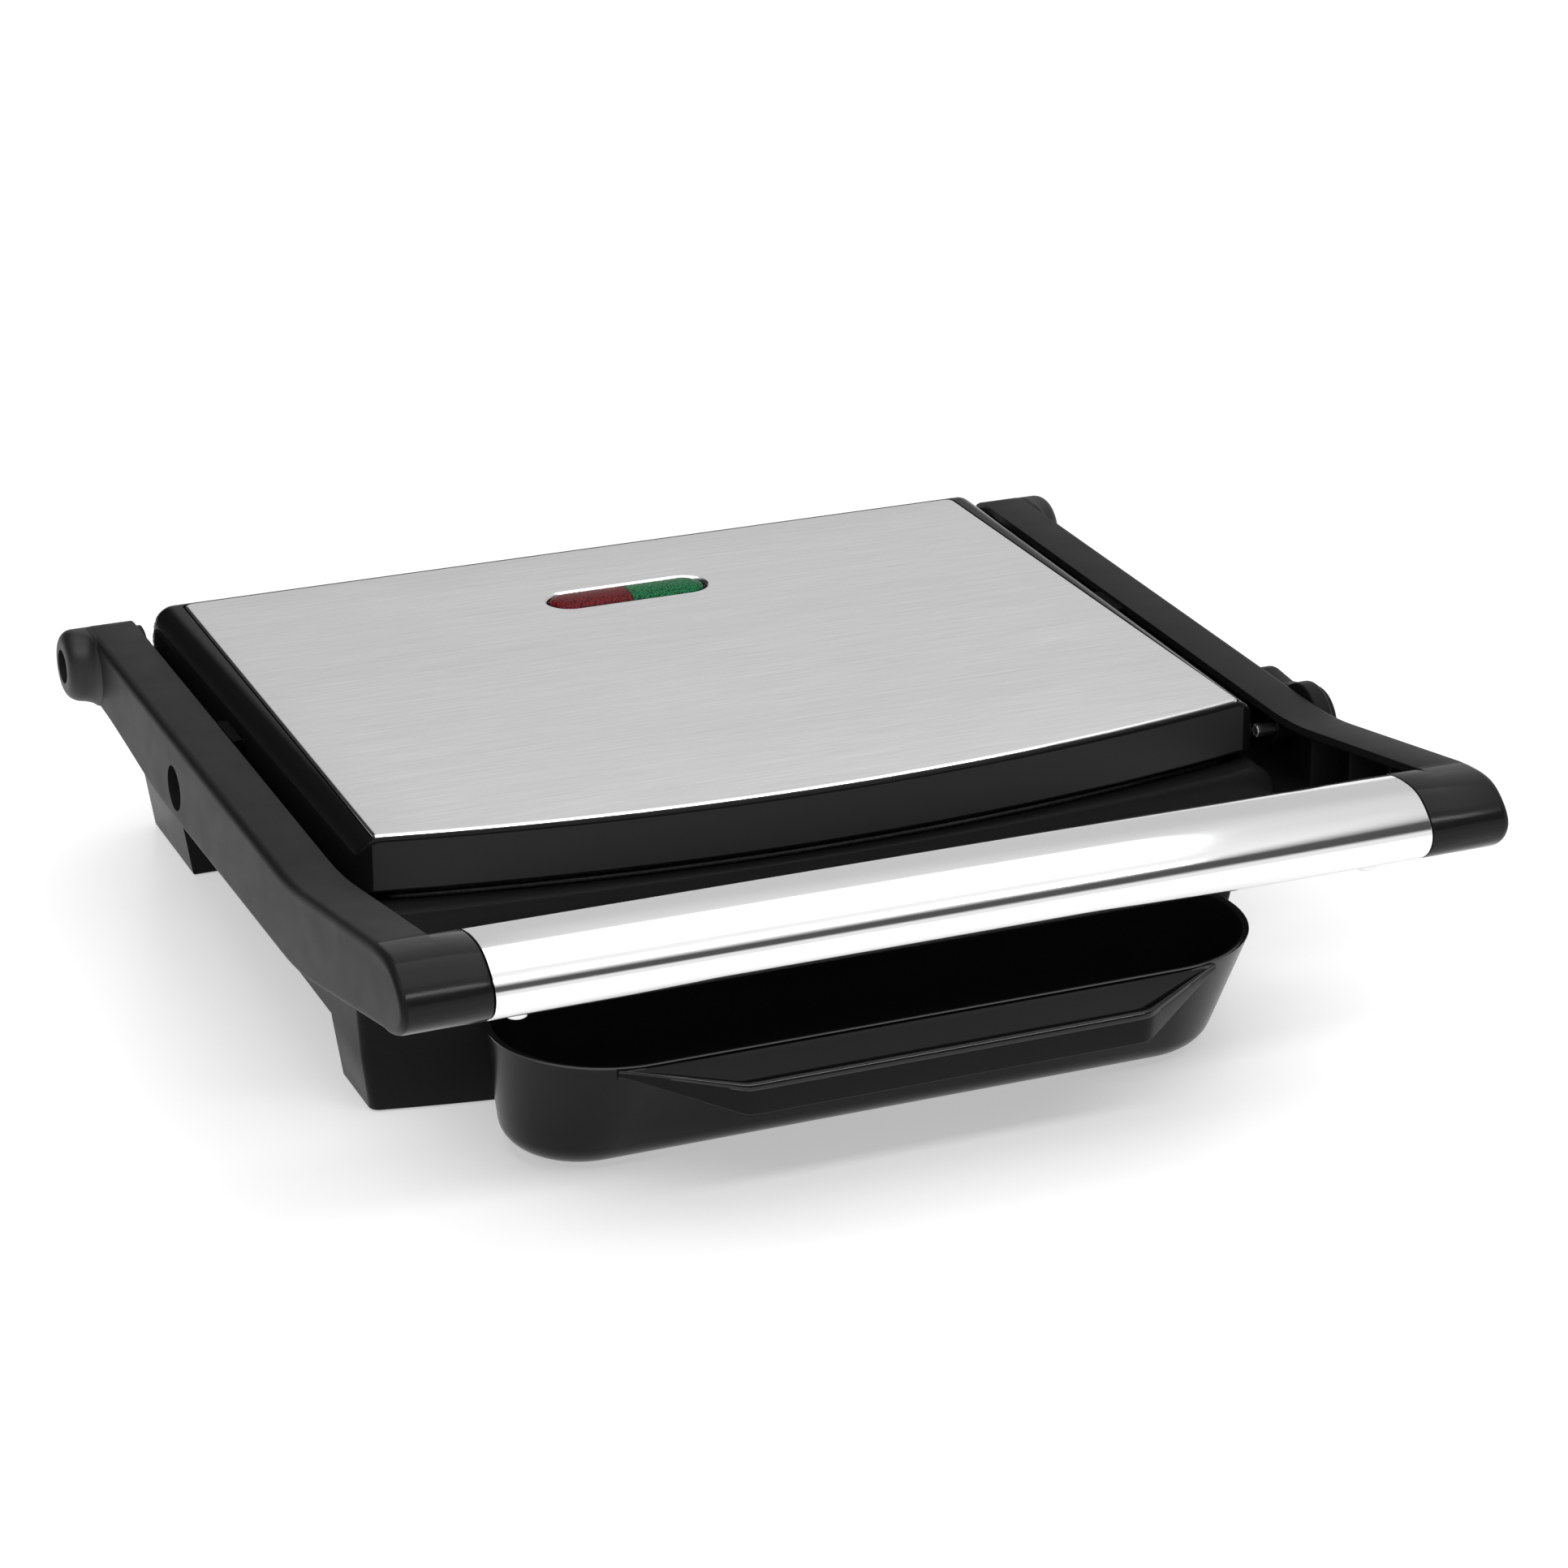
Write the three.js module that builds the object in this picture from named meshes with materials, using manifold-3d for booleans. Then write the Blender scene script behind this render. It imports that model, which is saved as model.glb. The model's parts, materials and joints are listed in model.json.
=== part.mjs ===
// A panini press with a floating lid. A U-shaped handle frame is hinged at the rear of the base, and
// the lid hangs in it on two pivot screws, so that the lid can lie flat on what is grilled. A pill-
// shaped drip tray stands in a bay under the front edge of the base.
// Millimetres, +Z up, the front faces -Y, the object stands on Z = 0.
import * as THREE from "three";
import { mergeVertices } from "three/addons/utils/BufferGeometryUtils.js";
import Module from "manifold-3d";

const wasm = await Module();
wasm.setup();

// ---------- driving dimensions ----------
const GAP = 0.4; // clearance between pieces that sit against each other
const FRONT_CURVE = 7.86e-4; // the front edges are bowed: y = middle + FRONT_CURVE * x^2
const CENTRE_SHIFT = 28.7; // moves the whole press so that its footprint is centred on the origin

const BASE_RIM = 73.3; // top of the base housing
const BASE_FLOOR = 22; // underside of the base housing between its feet
const WALL = 2.8; // wall of the two housings
const DECK_TOP = 54; // top of the deck that carries the hinge behind the lid
const DECK_REAR = 157;
const FOOT_FRONT_REAR = -62; // rear face of the two front feet
const FOOT_REAR_FRONT = 106; // front face of the two rear feet
const FOOT_INNER = 109; // inner faces of the front feet, where the tray bay begins
const BAY_TOP = 48;
const BAY_REAR = -98;
const BASE_SCREWS = { x: 112, ys: [-70, 80], headRadius: 4, shankRadius: 1.6 };
const PAD_RADIUS = 8;
const FOOT_PADS = [
  [-125, -79],
  [125, -79],
  [-127, 131],
  [127, 131],
];
const SPOUT_Y = -107; // where the fat runs down from the lower plate
const GLAND = { x: 60, z: 38, boreRadius: 3.6, holeRadius: 7.2 };
const STOP = { x: 136, z: 24, radius: 3.2 };

const LID_BOTTOM = 77.3;
const LID_TOP = 94.5;
const LID_REAR = 117;
const LID_FRONT = -118.4; // middle of the bowed front panel
const LID_FLARE = 6.5e-5; // the lid shell widens by this share per millimetre towards the rear
const PLATE_TAPER = 8.4e-5; // the steel top plate narrows by this share per millimetre towards the rear

const HINGE = { y: 118, z: 77, pinRadius: 3, eyeRadius: 12 };
const BRACKET = { inner: 152, outer: 154.6, footInner: 126, studX: 134, studYs: [127, 143] };
const PIVOT = { y: 13.7, z: 71.6, screwRadius: 2.6, bossRadius: 10 };
const LOCK = { y: -86.3, z: 77, shaftRadius: 2.5, knobRadius: 13.2 };

const ARM_INNER = 155;
const ARM_OUTER = 171.4;
const BARREL_END = 180; // outer end of the hinge barrels and of the lock knob
const SLEEVE_END = 144.8; // half length of the aluminium sleeve
const HANDLE_SCREW = { x: 133, y: -199.4 };
const HANDLE_BOTTOM = 80.1;
const ARM_WALL = 2.6;
const RIB_STEP = 11.6;
const RIB_SPAN = 127.6;

const TOP_PLATE = { side: 141.2, front: LID_FRONT + 2.2, rear: 112.8, frontRadius: 2, rearRadius: 2.5 };
const WINDOW = { centre: 66.3, radius: 8.6, half: 28.5 };

const TRAY = { rim: 44.5, bottom: 0.6, centre: -141, radius: 37, half: 121.7, wall: 2.2 };

// Rounded profiles of the housings: [height, half width, front, rear].
const BASE_LEVELS = [
  [0.6, 141.8, -105, LID_REAR],
  [20, 145, -109.2, LID_REAR],
  [40, 147.2, -113.5, LID_REAR],
  [62, 148.2, -LID_REAR - 1.4, LID_REAR],
  [67, 148.2, -LID_REAR - 1.4, LID_REAR],
  [70.6, 146.6, -LID_REAR - 1.4, LID_REAR - 0.6],
  [72.6, 144.2, -LID_REAR - 1, LID_REAR - 1.8],
  [BASE_RIM, 142.2, -LID_REAR + 0.2, LID_REAR - 3],
];
const DECK_LEVELS = [
  [0.6, 141.8, 60, DECK_REAR - 0.6],
  [20, 145, 60, DECK_REAR],
  [40, 147.2, 60, DECK_REAR],
  [52, 147.8, 60, DECK_REAR],
  [DECK_TOP, 145.8, 60, DECK_REAR - 1.6],
];
const LID_LEVELS = [
  [LID_BOTTOM, 146.6, LID_FRONT + 1, LID_REAR - 3.2],
  [LID_BOTTOM + 1.2, 148.6, LID_FRONT, LID_REAR - 1.6],
  [LID_BOTTOM + 3.6, 150, LID_FRONT, LID_REAR - 0.5],
  [LID_BOTTOM + 7, 150.2, LID_FRONT, LID_REAR],
  [LID_TOP - 6, 150, LID_FRONT, LID_REAR],
  [LID_TOP - 3.2, 148.4, LID_FRONT, LID_REAR - 0.6],
  [LID_TOP - 1.2, 146, LID_FRONT, LID_REAR - 1.8],
  [LID_TOP, 143.2, LID_FRONT + 0.6, LID_REAR - 3.4],
];

// ---------- materials ----------
function material(name, color, roughness, metalness = 0) {
  return Object.assign(new THREE.MeshStandardMaterial({ color, roughness, metalness }), { name });
}
const GLOSS_BLACK = material("gloss_black_plastic", 0x0c0c0d, 0.18);
const MATTE_BLACK = material("matte_black_plastic", 0x1d1d1e, 0.55);
const TRAY_BLACK = material("tray_black_plastic", 0x121213, 0.32);
const BRUSHED = material("brushed_stainless", 0xb9b9ba, 0.34, 1);
const ALUMINIUM = material("satin_aluminium", 0xdcdddf, 0.22, 1);
const STEEL = material("plain_steel", 0x8f9193, 0.35, 1);
const NON_STICK = material("non_stick_coating", 0x1a1a1b, 0.48, 0.2);
const RUBBER = material("rubber", 0x161616, 0.85);
const ELEMENT = material("element_tube", 0x55504a, 0.5, 1);
const RED_LENS = material("red_lens", 0x7a0f14, 0.12);
const GREEN_LENS = material("green_lens", 0x0c7a3c, 0.12);
const NATURAL = material("natural_plastic", 0xcfcabd, 0.5);

// ---------- solids ----------
function toSolid(geometry) {
  const bare = geometry.clone();
  bare.deleteAttribute("normal");
  bare.deleteAttribute("uv");
  const merged = mergeVertices(bare, 1e-4);
  return new wasm.Manifold(
    new wasm.Mesh({
      numProp: 3,
      vertProperties: merged.attributes.position.array,
      triVerts: new Uint32Array(merged.index.array),
    }),
  );
}

function toGeometry(solid) {
  const mesh = solid.getMesh();
  const geometry = new THREE.BufferGeometry();
  geometry.setAttribute("position", new THREE.Float32BufferAttribute(mesh.vertProperties, 3));
  geometry.setIndex(new THREE.BufferAttribute(new Uint32Array(mesh.triVerts), 1));
  geometry.computeVertexNormals();
  return geometry;
}

// A copy of a geometry on the other side of the plane X = 0, with its faces turned back outwards.
function mirrored(geometry) {
  const copy = geometry.clone();
  copy.scale(-1, 1, 1);
  const index = copy.index.array;
  for (let i = 0; i < index.length; i += 3) {
    [index[i + 1], index[i + 2]] = [index[i + 2], index[i + 1]];
  }
  copy.computeVertexNormals();
  return copy;
}

function box([x0, x1], [y0, y1], [z0, z1]) {
  const geometry = new THREE.BoxGeometry(x1 - x0, y1 - y0, z1 - z0);
  geometry.translate((x0 + x1) / 2, (y0 + y1) / 2, (z0 + z1) / 2);
  return toSolid(geometry);
}

// A round rod along X about the axis through (y, z).
function rodX({ y, z }, radius, [x0, x1], sides = 24) {
  const geometry = new THREE.CylinderGeometry(radius, radius, x1 - x0, sides);
  geometry.rotateZ(Math.PI / 2);
  geometry.translate((x0 + x1) / 2, y, z);
  return toSolid(geometry);
}

// A round rod along Z, tapered when the top radius differs.
function rodZ([x, y], radius, [z0, z1], sides = 16, topRadius = radius) {
  const geometry = new THREE.CylinderGeometry(topRadius, radius, z1 - z0, sides);
  geometry.rotateX(Math.PI / 2);
  geometry.translate(x, y, (z0 + z1) / 2);
  return toSolid(geometry);
}

// A round rod along Y about the axis through (x, z).
function rodY([x, z], radius, [y0, y1], sides = 16) {
  const geometry = new THREE.CylinderGeometry(radius, radius, y1 - y0, sides);
  geometry.translate(x, (y0 + y1) / 2, z);
  return toSolid(geometry);
}

function union(first, ...others) {
  return others.reduce((sum, next) => sum.add(next), first);
}

function cut(first, ...others) {
  return others.reduce((rest, next) => rest.subtract(next), first);
}

// Triangles that fill an outline, all turning counter-clockwise.
function fill(outline) {
  return THREE.ShapeUtils.triangulateShape(outline, []).map(([a, b, c]) => {
    const ab = outline[b].clone().sub(outline[a]);
    const ac = outline[c].clone().sub(outline[a]);
    return ab.cross(ac) > 0 ? [a, b, c] : [a, c, b];
  });
}

// A closed skin through outlines with the same number of points, from the lowest to the highest.
function loft(sections, place) {
  const count = sections[0].outline.length;
  const points = sections.flatMap(({ at, outline }) => outline.map((p) => place(p, at)));
  const faces = [];
  for (let level = 0; level < sections.length - 1; level += 1) {
    for (let i = 0; i < count; i += 1) {
      const a = level * count + i;
      const b = level * count + ((i + 1) % count);
      faces.push([a, b, b + count], [a, b + count, a + count]);
    }
  }
  const last = (sections.length - 1) * count;
  fill(sections[0].outline).forEach(([a, b, c]) => faces.push([c, b, a]));
  fill(sections.at(-1).outline).forEach(([a, b, c]) => faces.push([last + a, last + b, last + c]));
  const geometry = new THREE.BufferGeometry().setFromPoints(points);
  geometry.setIndex(faces.flat());
  return toSolid(geometry);
}

const loftZ = (sections) => loft(sections, (p, at) => new THREE.Vector3(p.x, p.y, at));
const loftX = (sections) => loft(sections, (p, at) => new THREE.Vector3(at, p.x, p.y));

// ---------- outlines ----------
// Plan of the housings: straight sides and rear, a front edge bowed forward, rounded corners.
function bowedPlan({ side, front, rear, frontRadius = 3, rearRadius = 8, taper = 0, curve = FRONT_CURVE }) {
  const frontY = (x) => front + curve * x * x;
  const bend = Math.atan(2 * curve * (side - frontRadius));
  const start = side - frontRadius + frontRadius * Math.sin(bend);
  const cornerY = frontY(start) + frontRadius * Math.cos(bend);
  const points = [];
  const arc = (cx, cy, radius, from, to, steps) => {
    for (let i = 0; i <= steps; i += 1) {
      const angle = from + ((to - from) * i) / steps;
      points.push(new THREE.Vector2(cx + radius * Math.cos(angle), cy + radius * Math.sin(angle)));
    }
  };
  arc(side - rearRadius, rear - rearRadius, rearRadius, 0, Math.PI / 2, 4);
  arc(rearRadius - side, rear - rearRadius, rearRadius, Math.PI / 2, Math.PI, 4);
  arc(frontRadius - side, cornerY, frontRadius, Math.PI, 1.5 * Math.PI - bend, 3);
  const steps = 16;
  for (let i = 1; i < steps; i += 1) {
    const x = start * ((2 * i) / steps - 1);
    points.push(new THREE.Vector2(x, frontY(x)));
  }
  arc(side - frontRadius, cornerY, frontRadius, 1.5 * Math.PI + bend, 2 * Math.PI, 3);
  return points.map((p) => new THREE.Vector2(p.x * (1 - taper * p.y), p.y));
}

// A pill lying along X.
function pill({ centre, radius, half }, steps = 14) {
  const points = [];
  for (const [cx, from] of [
    [half - radius, -Math.PI / 2],
    [radius - half, Math.PI / 2],
  ]) {
    for (let i = 0; i <= steps; i += 1) {
      const angle = from + (Math.PI * i) / steps;
      points.push(new THREE.Vector2(cx + radius * Math.cos(angle), centre + radius * Math.sin(angle)));
    }
  }
  return points;
}

const outlineOf = (pairs) => pairs.map(([u, v]) => new THREE.Vector2(u, v));

// The same outline moved inwards by a distance, for outlines that turn counter-clockwise.
function inset(outline, distance) {
  const count = outline.length;
  return outline.map((point, i) => {
    const before = point.clone().sub(outline[(i + count - 1) % count]).normalize();
    const after = outline[(i + 1) % count].clone().sub(point).normalize();
    const along = before.clone().add(after).normalize();
    const reach = distance / Math.max(0.5, along.dot(after));
    return new THREE.Vector2(point.x - along.y * reach, point.y + along.x * reach);
  });
}

// ---------- base ----------
function housingSections(levels, insetBy = 0, extra = {}) {
  return levels.map(([at, side, front, rear]) => ({
    at,
    outline: bowedPlan({ side: side - insetBy, front: front + insetBy, rear: rear - insetBy, ...extra }),
  }));
}

function clampLevels(levels, low, high) {
  const inside = levels.filter(([at]) => at > low && at < high);
  const first = levels[0];
  const last = levels.at(-1);
  return [[low, ...first.slice(1)], ...inside, [high, ...last.slice(1)]];
}

function baseScrewPlaces() {
  return [-1, 1].flatMap((side) => BASE_SCREWS.ys.map((y) => [side * BASE_SCREWS.x, y]));
}

// The base is one moulding: the housing with its rear deck, hollowed, then cut free between its feet.
function baseShell() {
  const deckPlan = { curve: 0, frontRadius: 3, rearRadius: 3.4 };
  const outer = union(
    loftZ(housingSections(BASE_LEVELS)),
    loftZ(housingSections(DECK_LEVELS, 0, deckPlan)),
  );
  const hollow = union(
    loftZ(housingSections(clampLevels(BASE_LEVELS, 3.8, BASE_RIM + 1), WALL)),
    loftZ(housingSections(clampLevels(DECK_LEVELS, 3.8, DECK_TOP - WALL), WALL, deckPlan)),
  );
  const wide = [-200, 200];
  const under = BASE_FLOOR + WALL;
  const kept = union(
    box(wide, [FOOT_FRONT_REAR - WALL, FOOT_REAR_FRONT + WALL], [0, under]),
    box([-FOOT_INNER - WALL, FOOT_INNER + WALL], [-200, 200], [0, under]),
    box([-FOOT_INNER - WALL, FOOT_INNER + WALL], [-200, BAY_REAR + WALL], [0, BAY_TOP + WALL]),
  );
  const posts = baseScrewPlaces().map((at) => rodZ(at, 5, [BASE_FLOOR + 1, 63.6]));
  const screwHoles = baseScrewPlaces().map((at) => rodZ(at, 1.9, [BASE_FLOOR - 1, 62]));
  const screwSeats = baseScrewPlaces().map((at) => rodZ(at, 4.4, [BASE_FLOOR - 1, BASE_FLOOR + 1.6]));
  const vents = [-60, -30, 0, 30, 60].map((x) =>
    box([x - 2, x + 2], [20, 80], [BASE_FLOOR - 1, under + 1]),
  );
  const padSeats = FOOT_PADS.map(([x, y]) => rodZ([x, y], PAD_RADIUS + GAP, [0, 2.2], 20));
  return cut(
    union(cut(outer, cut(hollow, kept)), ...posts),
    box(wide, [FOOT_FRONT_REAR, FOOT_REAR_FRONT], [-1, BASE_FLOOR]),
    box([-FOOT_INNER, FOOT_INNER], [-200, 200], [-1, BASE_FLOOR]),
    box([-FOOT_INNER, FOOT_INNER], [-200, BAY_REAR], [-1, BAY_TOP]),
    ...screwHoles,
    ...screwSeats,
    ...vents,
    ...padSeats,
    rodZ([0, SPOUT_Y], 6, [BAY_TOP - 1, BAY_TOP + WALL + 2], 20),
    rodY([GLAND.x, GLAND.z], GLAND.holeRadius, [DECK_REAR - 8, DECK_REAR + 1], 20),
    ...[-1, 1].map((side) => rodY([side * STOP.x, STOP.z], 1.8, [DECK_REAR - 8, DECK_REAR + 1], 12)),
    ...bracketHoles(),
  );
}

function footPad([x, y]) {
  return rodZ([x, y], PAD_RADIUS - 0.8, [0, 1.9], 20, PAD_RADIUS);
}

function cordGland() {
  const at = [GLAND.x, GLAND.z];
  const collar = union(
    rodY(at, GLAND.holeRadius - GAP, [DECK_REAR - 5, DECK_REAR + 0.5], 20),
    rodY(at, GLAND.holeRadius + 2.3, [DECK_REAR + 0.4, DECK_REAR + 3], 20),
    rodY(at, GLAND.holeRadius + 1.8, [DECK_REAR - 7.6, DECK_REAR - 4.6], 20),
  );
  return cut(collar, rodY(at, GLAND.boreRadius, [DECK_REAR - 8, DECK_REAR + 4], 16));
}

function rearStop(side) {
  const at = [side * STOP.x, STOP.z];
  return union(
    rodY(at, 1.5, [DECK_REAR - 5, DECK_REAR + 0.8], 12),
    rodY(at, STOP.radius, [DECK_REAR + 0.3, DECK_REAR + 2.6], 16),
  );
}

function baseScrew(at) {
  return union(
    rodZ(at, BASE_SCREWS.headRadius, [BASE_FLOOR + 0.1, BASE_FLOOR + 1.3], 16),
    rodZ(at, BASE_SCREWS.shankRadius, [BASE_FLOOR + 1.3, 60], 12),
  );
}

// ---------- grill plates and what heats them ----------
// Parallel ribs that narrow from their root at z0 to their crest at z1.
function ribs([y0, y1], [z0, z1]) {
  const bars = [];
  const rootHalf = 3;
  const crestHalf = 1.8;
  for (let x = -RIB_SPAN; x <= RIB_SPAN + 0.1; x += RIB_STEP) {
    const bar = (half, inward) =>
      outlineOf([
        [x - half, y0 + inward],
        [x + half, y0 + inward],
        [x + half, y1 - inward],
        [x - half, y1 - inward],
      ]);
    const rootFirst = z0 < z1;
    const sections = [
      { at: z0, outline: bar(rootHalf, 0) },
      { at: z1, outline: bar(crestHalf, 2) },
    ];
    bars.push(loftZ(rootFirst ? sections : sections.reverse()));
  }
  return bars;
}

function grillPlan({ side, front, rear }, grow) {
  return bowedPlan({ side: side + grow, front: front - grow, rear: rear + grow, rearRadius: 6 });
}

function lowerPlate() {
  const plan = (grow) => grillPlan({ side: 138.8, front: -113.3, rear: 110.8 }, grow);
  const body = loftZ([
    { at: 64, outline: plan(-5) },
    { at: 67, outline: plan(-0.8) },
    { at: 73.6, outline: plan(-0.2) },
    { at: 74.4, outline: plan(-1) },
  ]);
  const basin = loftZ([
    { at: 68, outline: plan(-5.4) },
    { at: 76, outline: plan(-3.4) },
  ]);
  const spout = rodZ([0, SPOUT_Y], 5, [46, 66], 20, 5.4);
  return cut(
    union(cut(body, basin), spout, ...ribs([-84, 100], [67.5, 73])),
    rodZ([0, SPOUT_Y], 3.6, [40, 70], 16),
  );
}

function upperPlate() {
  const plan = (grow) => grillPlan({ side: 137, front: -112.6, rear: 111 }, grow);
  const body = loftZ([
    { at: 78.6, outline: plan(-1.4) },
    { at: 79.4, outline: plan(0) },
    { at: 84, outline: plan(0) },
  ]);
  const basin = loftZ([
    { at: 77, outline: plan(-3.6) },
    { at: 80.8, outline: plan(-5.4) },
  ]);
  return union(cut(body, basin), ...ribs([-94, 100], [81.2, 78.2]));
}

// A heating tube bent into a wide loop whose ends stand side by side at the rear.
function element(z, radius, frontY, rearY) {
  const half = 92;
  const path = new THREE.CurvePath();
  const corners = [
    [-14, rearY],
    [-14, rearY - 20],
    [-half, rearY - 20],
    [-half, frontY],
    [half, frontY],
    [half, rearY - 20],
    [14, rearY - 20],
    [14, rearY],
  ].map(([x, y]) => new THREE.Vector3(x, y, z));
  const bend = 9;
  let from = corners[0];
  for (let i = 1; i < corners.length - 1; i += 1) {
    const into = corners[i].clone().sub(corners[i - 1]).setLength(bend);
    const out = corners[i + 1].clone().sub(corners[i]).setLength(bend);
    const entry = corners[i].clone().sub(into);
    const exit = corners[i].clone().add(out);
    path.add(new THREE.LineCurve3(from, entry));
    path.add(new THREE.QuadraticBezierCurve3(entry, corners[i], exit));
    from = exit;
  }
  path.add(new THREE.LineCurve3(from, corners.at(-1)));
  const ring = new THREE.Shape();
  ring.absarc(0, 0, radius, 0, 2 * Math.PI);
  return toSolid(new THREE.ExtrudeGeometry(ring, { extrudePath: path, steps: 64, curveSegments: 3 }));
}

// A shallow sheet tray under the lower element, open upwards.
function lowerReflector() {
  const [low, high] = [52, 56.4];
  const plan = (grow) => grillPlan({ side: 118, front: -88, rear: 92 }, grow);
  return cut(
    loftZ([
      { at: low, outline: plan(-3) },
      { at: high, outline: plan(0) },
    ]),
    loftZ([
      { at: low + 0.8, outline: plan(-4) },
      { at: high + 1, outline: plan(-0.6) },
    ]),
    ...baseScrewPlaces().map((at) => rodZ(at, 6, [40, 60], 16)),
  );
}

// A flat sheet over the upper element, cut out round the lamps.
function upperReflector() {
  const outline = grillPlan({ side: 116, front: -92, rear: 94 }, 0);
  return cut(
    loftZ([
      { at: 90.6, outline },
      { at: 91.3, outline },
    ]),
    box([-34, 34], [52, 81], [80, 95]),
  );
}

function thermostat() {
  return union(
    rodZ([0, -20], 8, [84.4, 88], 20),
    box([-11, 11], [-22.5, -17.5], [87.8, 89.2]),
  );
}

// ---------- hinge between base and handle frame ----------
function bracketOutline() {
  const eye = { y: HINGE.y + 2, z: HINGE.z, radius: 9.5 };
  const points = [];
  for (let i = 0; i <= 12; i += 1) {
    const angle = (Math.PI * i) / 12;
    points.push([eye.y + eye.radius * Math.cos(angle), eye.z + eye.radius * Math.sin(angle)]);
  }
  return outlineOf([...points, [FOOT_REAR_FRONT + 14, DECK_TOP + GAP], [150, DECK_TOP + GAP]]);
}

// A folded sheet: an upright that carries the hinge pin, and a foot riveted to the deck.
function hingeBracket() {
  const { inner, outer, footInner, studX, studYs } = BRACKET;
  const upright = loftX([inner, outer].map((at) => ({ at, outline: bracketOutline() })));
  const foot = box([footInner, outer], [FOOT_REAR_FRONT + 14, 150], [DECK_TOP + GAP, DECK_TOP + 3]);
  const studs = studYs.map((y) => rodZ([studX, y], 2.2, [DECK_TOP - 4, DECK_TOP + 2], 12));
  const heads = studYs.map((y) => rodZ([studX, y], 4, [DECK_TOP + 2.6, DECK_TOP + 4.6], 12));
  return cut(
    union(upright, foot, ...studs, ...heads),
    rodX(HINGE, HINGE.pinRadius + 0.3, [inner - 2, outer + 2]),
  );
}

function bracketHoles() {
  return [-1, 1].flatMap((side) =>
    BRACKET.studYs.map((y) => rodZ([side * BRACKET.studX, y], 2.6, [DECK_TOP - 6, DECK_TOP + 1], 12)),
  );
}

function hingePin() {
  return union(
    rodX(HINGE, HINGE.pinRadius, [BRACKET.inner - 1.6, ARM_OUTER + 0.6], 20),
    rodX(HINGE, 5, [BRACKET.inner - 1.8, BRACKET.inner - 0.4], 20),
  );
}

// ---------- handle frame ----------
// Side view of an arm, (y, z): level from the hinge eye to the bend, then rising to the handle.
function armProfile() {
  const under = [
    [-197, HANDLE_BOTTOM],
    [-150, 68.4],
    [-130, 64],
    [-118, 61.6],
    [-104, 60.2],
    [30, 59.4],
    [54, 61.6],
    [84, 63.8],
  ];
  const eye = [];
  for (let i = 0; i <= 10; i += 1) {
    const angle = -Math.PI / 2 + (Math.PI * i) / 10;
    eye.push([HINGE.y + HINGE.eyeRadius * Math.cos(angle), HINGE.z + HINGE.eyeRadius * Math.sin(angle)]);
  }
  const over = [
    [-98, 88.3],
    [-112, 88.8],
    [-122, 90.2],
    [-191, 103],
  ];
  return outlineOf([...under, ...eye, ...over]);
}

// Cross-section of the handle: a smooth loop with a crowned top, a round nose and a flat rear.
function handleSection() {
  const nose = [
    [-214.4, 98.2],
    [-217.4, 92.8],
    [-215.4, 87.2],
    [-209.6, 83],
  ];
  const bottom = [
    [-201, HANDLE_BOTTOM],
    [-191.4, 80.8],
    [-186.2, 85],
  ];
  const rear = [
    [-184.8, 91.5],
    [-185, 97.8],
    [-188, 101.7],
  ];
  const top = [
    [-197, 103.6],
    [-207, 102.9],
  ];
  const loop = [...nose, ...bottom, ...rear, ...top].map(([y, z]) => new THREE.Vector3(y, z, 0));
  const curve = new THREE.CatmullRomCurve3(loop, true);
  return curve.getPoints(2 * loop.length).slice(1).map(({ x, y }) => new THREE.Vector2(x, y));
}

// An outline scaled about the middle of its box so that every side moves inwards by a distance.
function shrunk(outline, distance) {
  const bounds = new THREE.Box2().setFromPoints(outline);
  const middle = bounds.getCenter(new THREE.Vector2());
  const size = bounds.getSize(new THREE.Vector2());
  const share = new THREE.Vector2(1 - (2 * distance) / size.x, 1 - (2 * distance) / size.y);
  return outline.map((point) => point.clone().sub(middle).multiply(share).add(middle));
}

// A bar along X whose outer end is rounded like a quarter circle.
function softEnd(outline, [x0, x1], softness) {
  const steps = 5;
  const sections = [{ at: x0, outline }];
  for (let i = 0; i <= steps; i += 1) {
    const angle = (Math.PI / 2) * (i / steps);
    const inward = softness * (1 - Math.cos(angle));
    sections.push({ at: x1 - softness * (1 - Math.sin(angle)), outline: shrunk(outline, inward) });
  }
  return loftX(sections);
}

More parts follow.
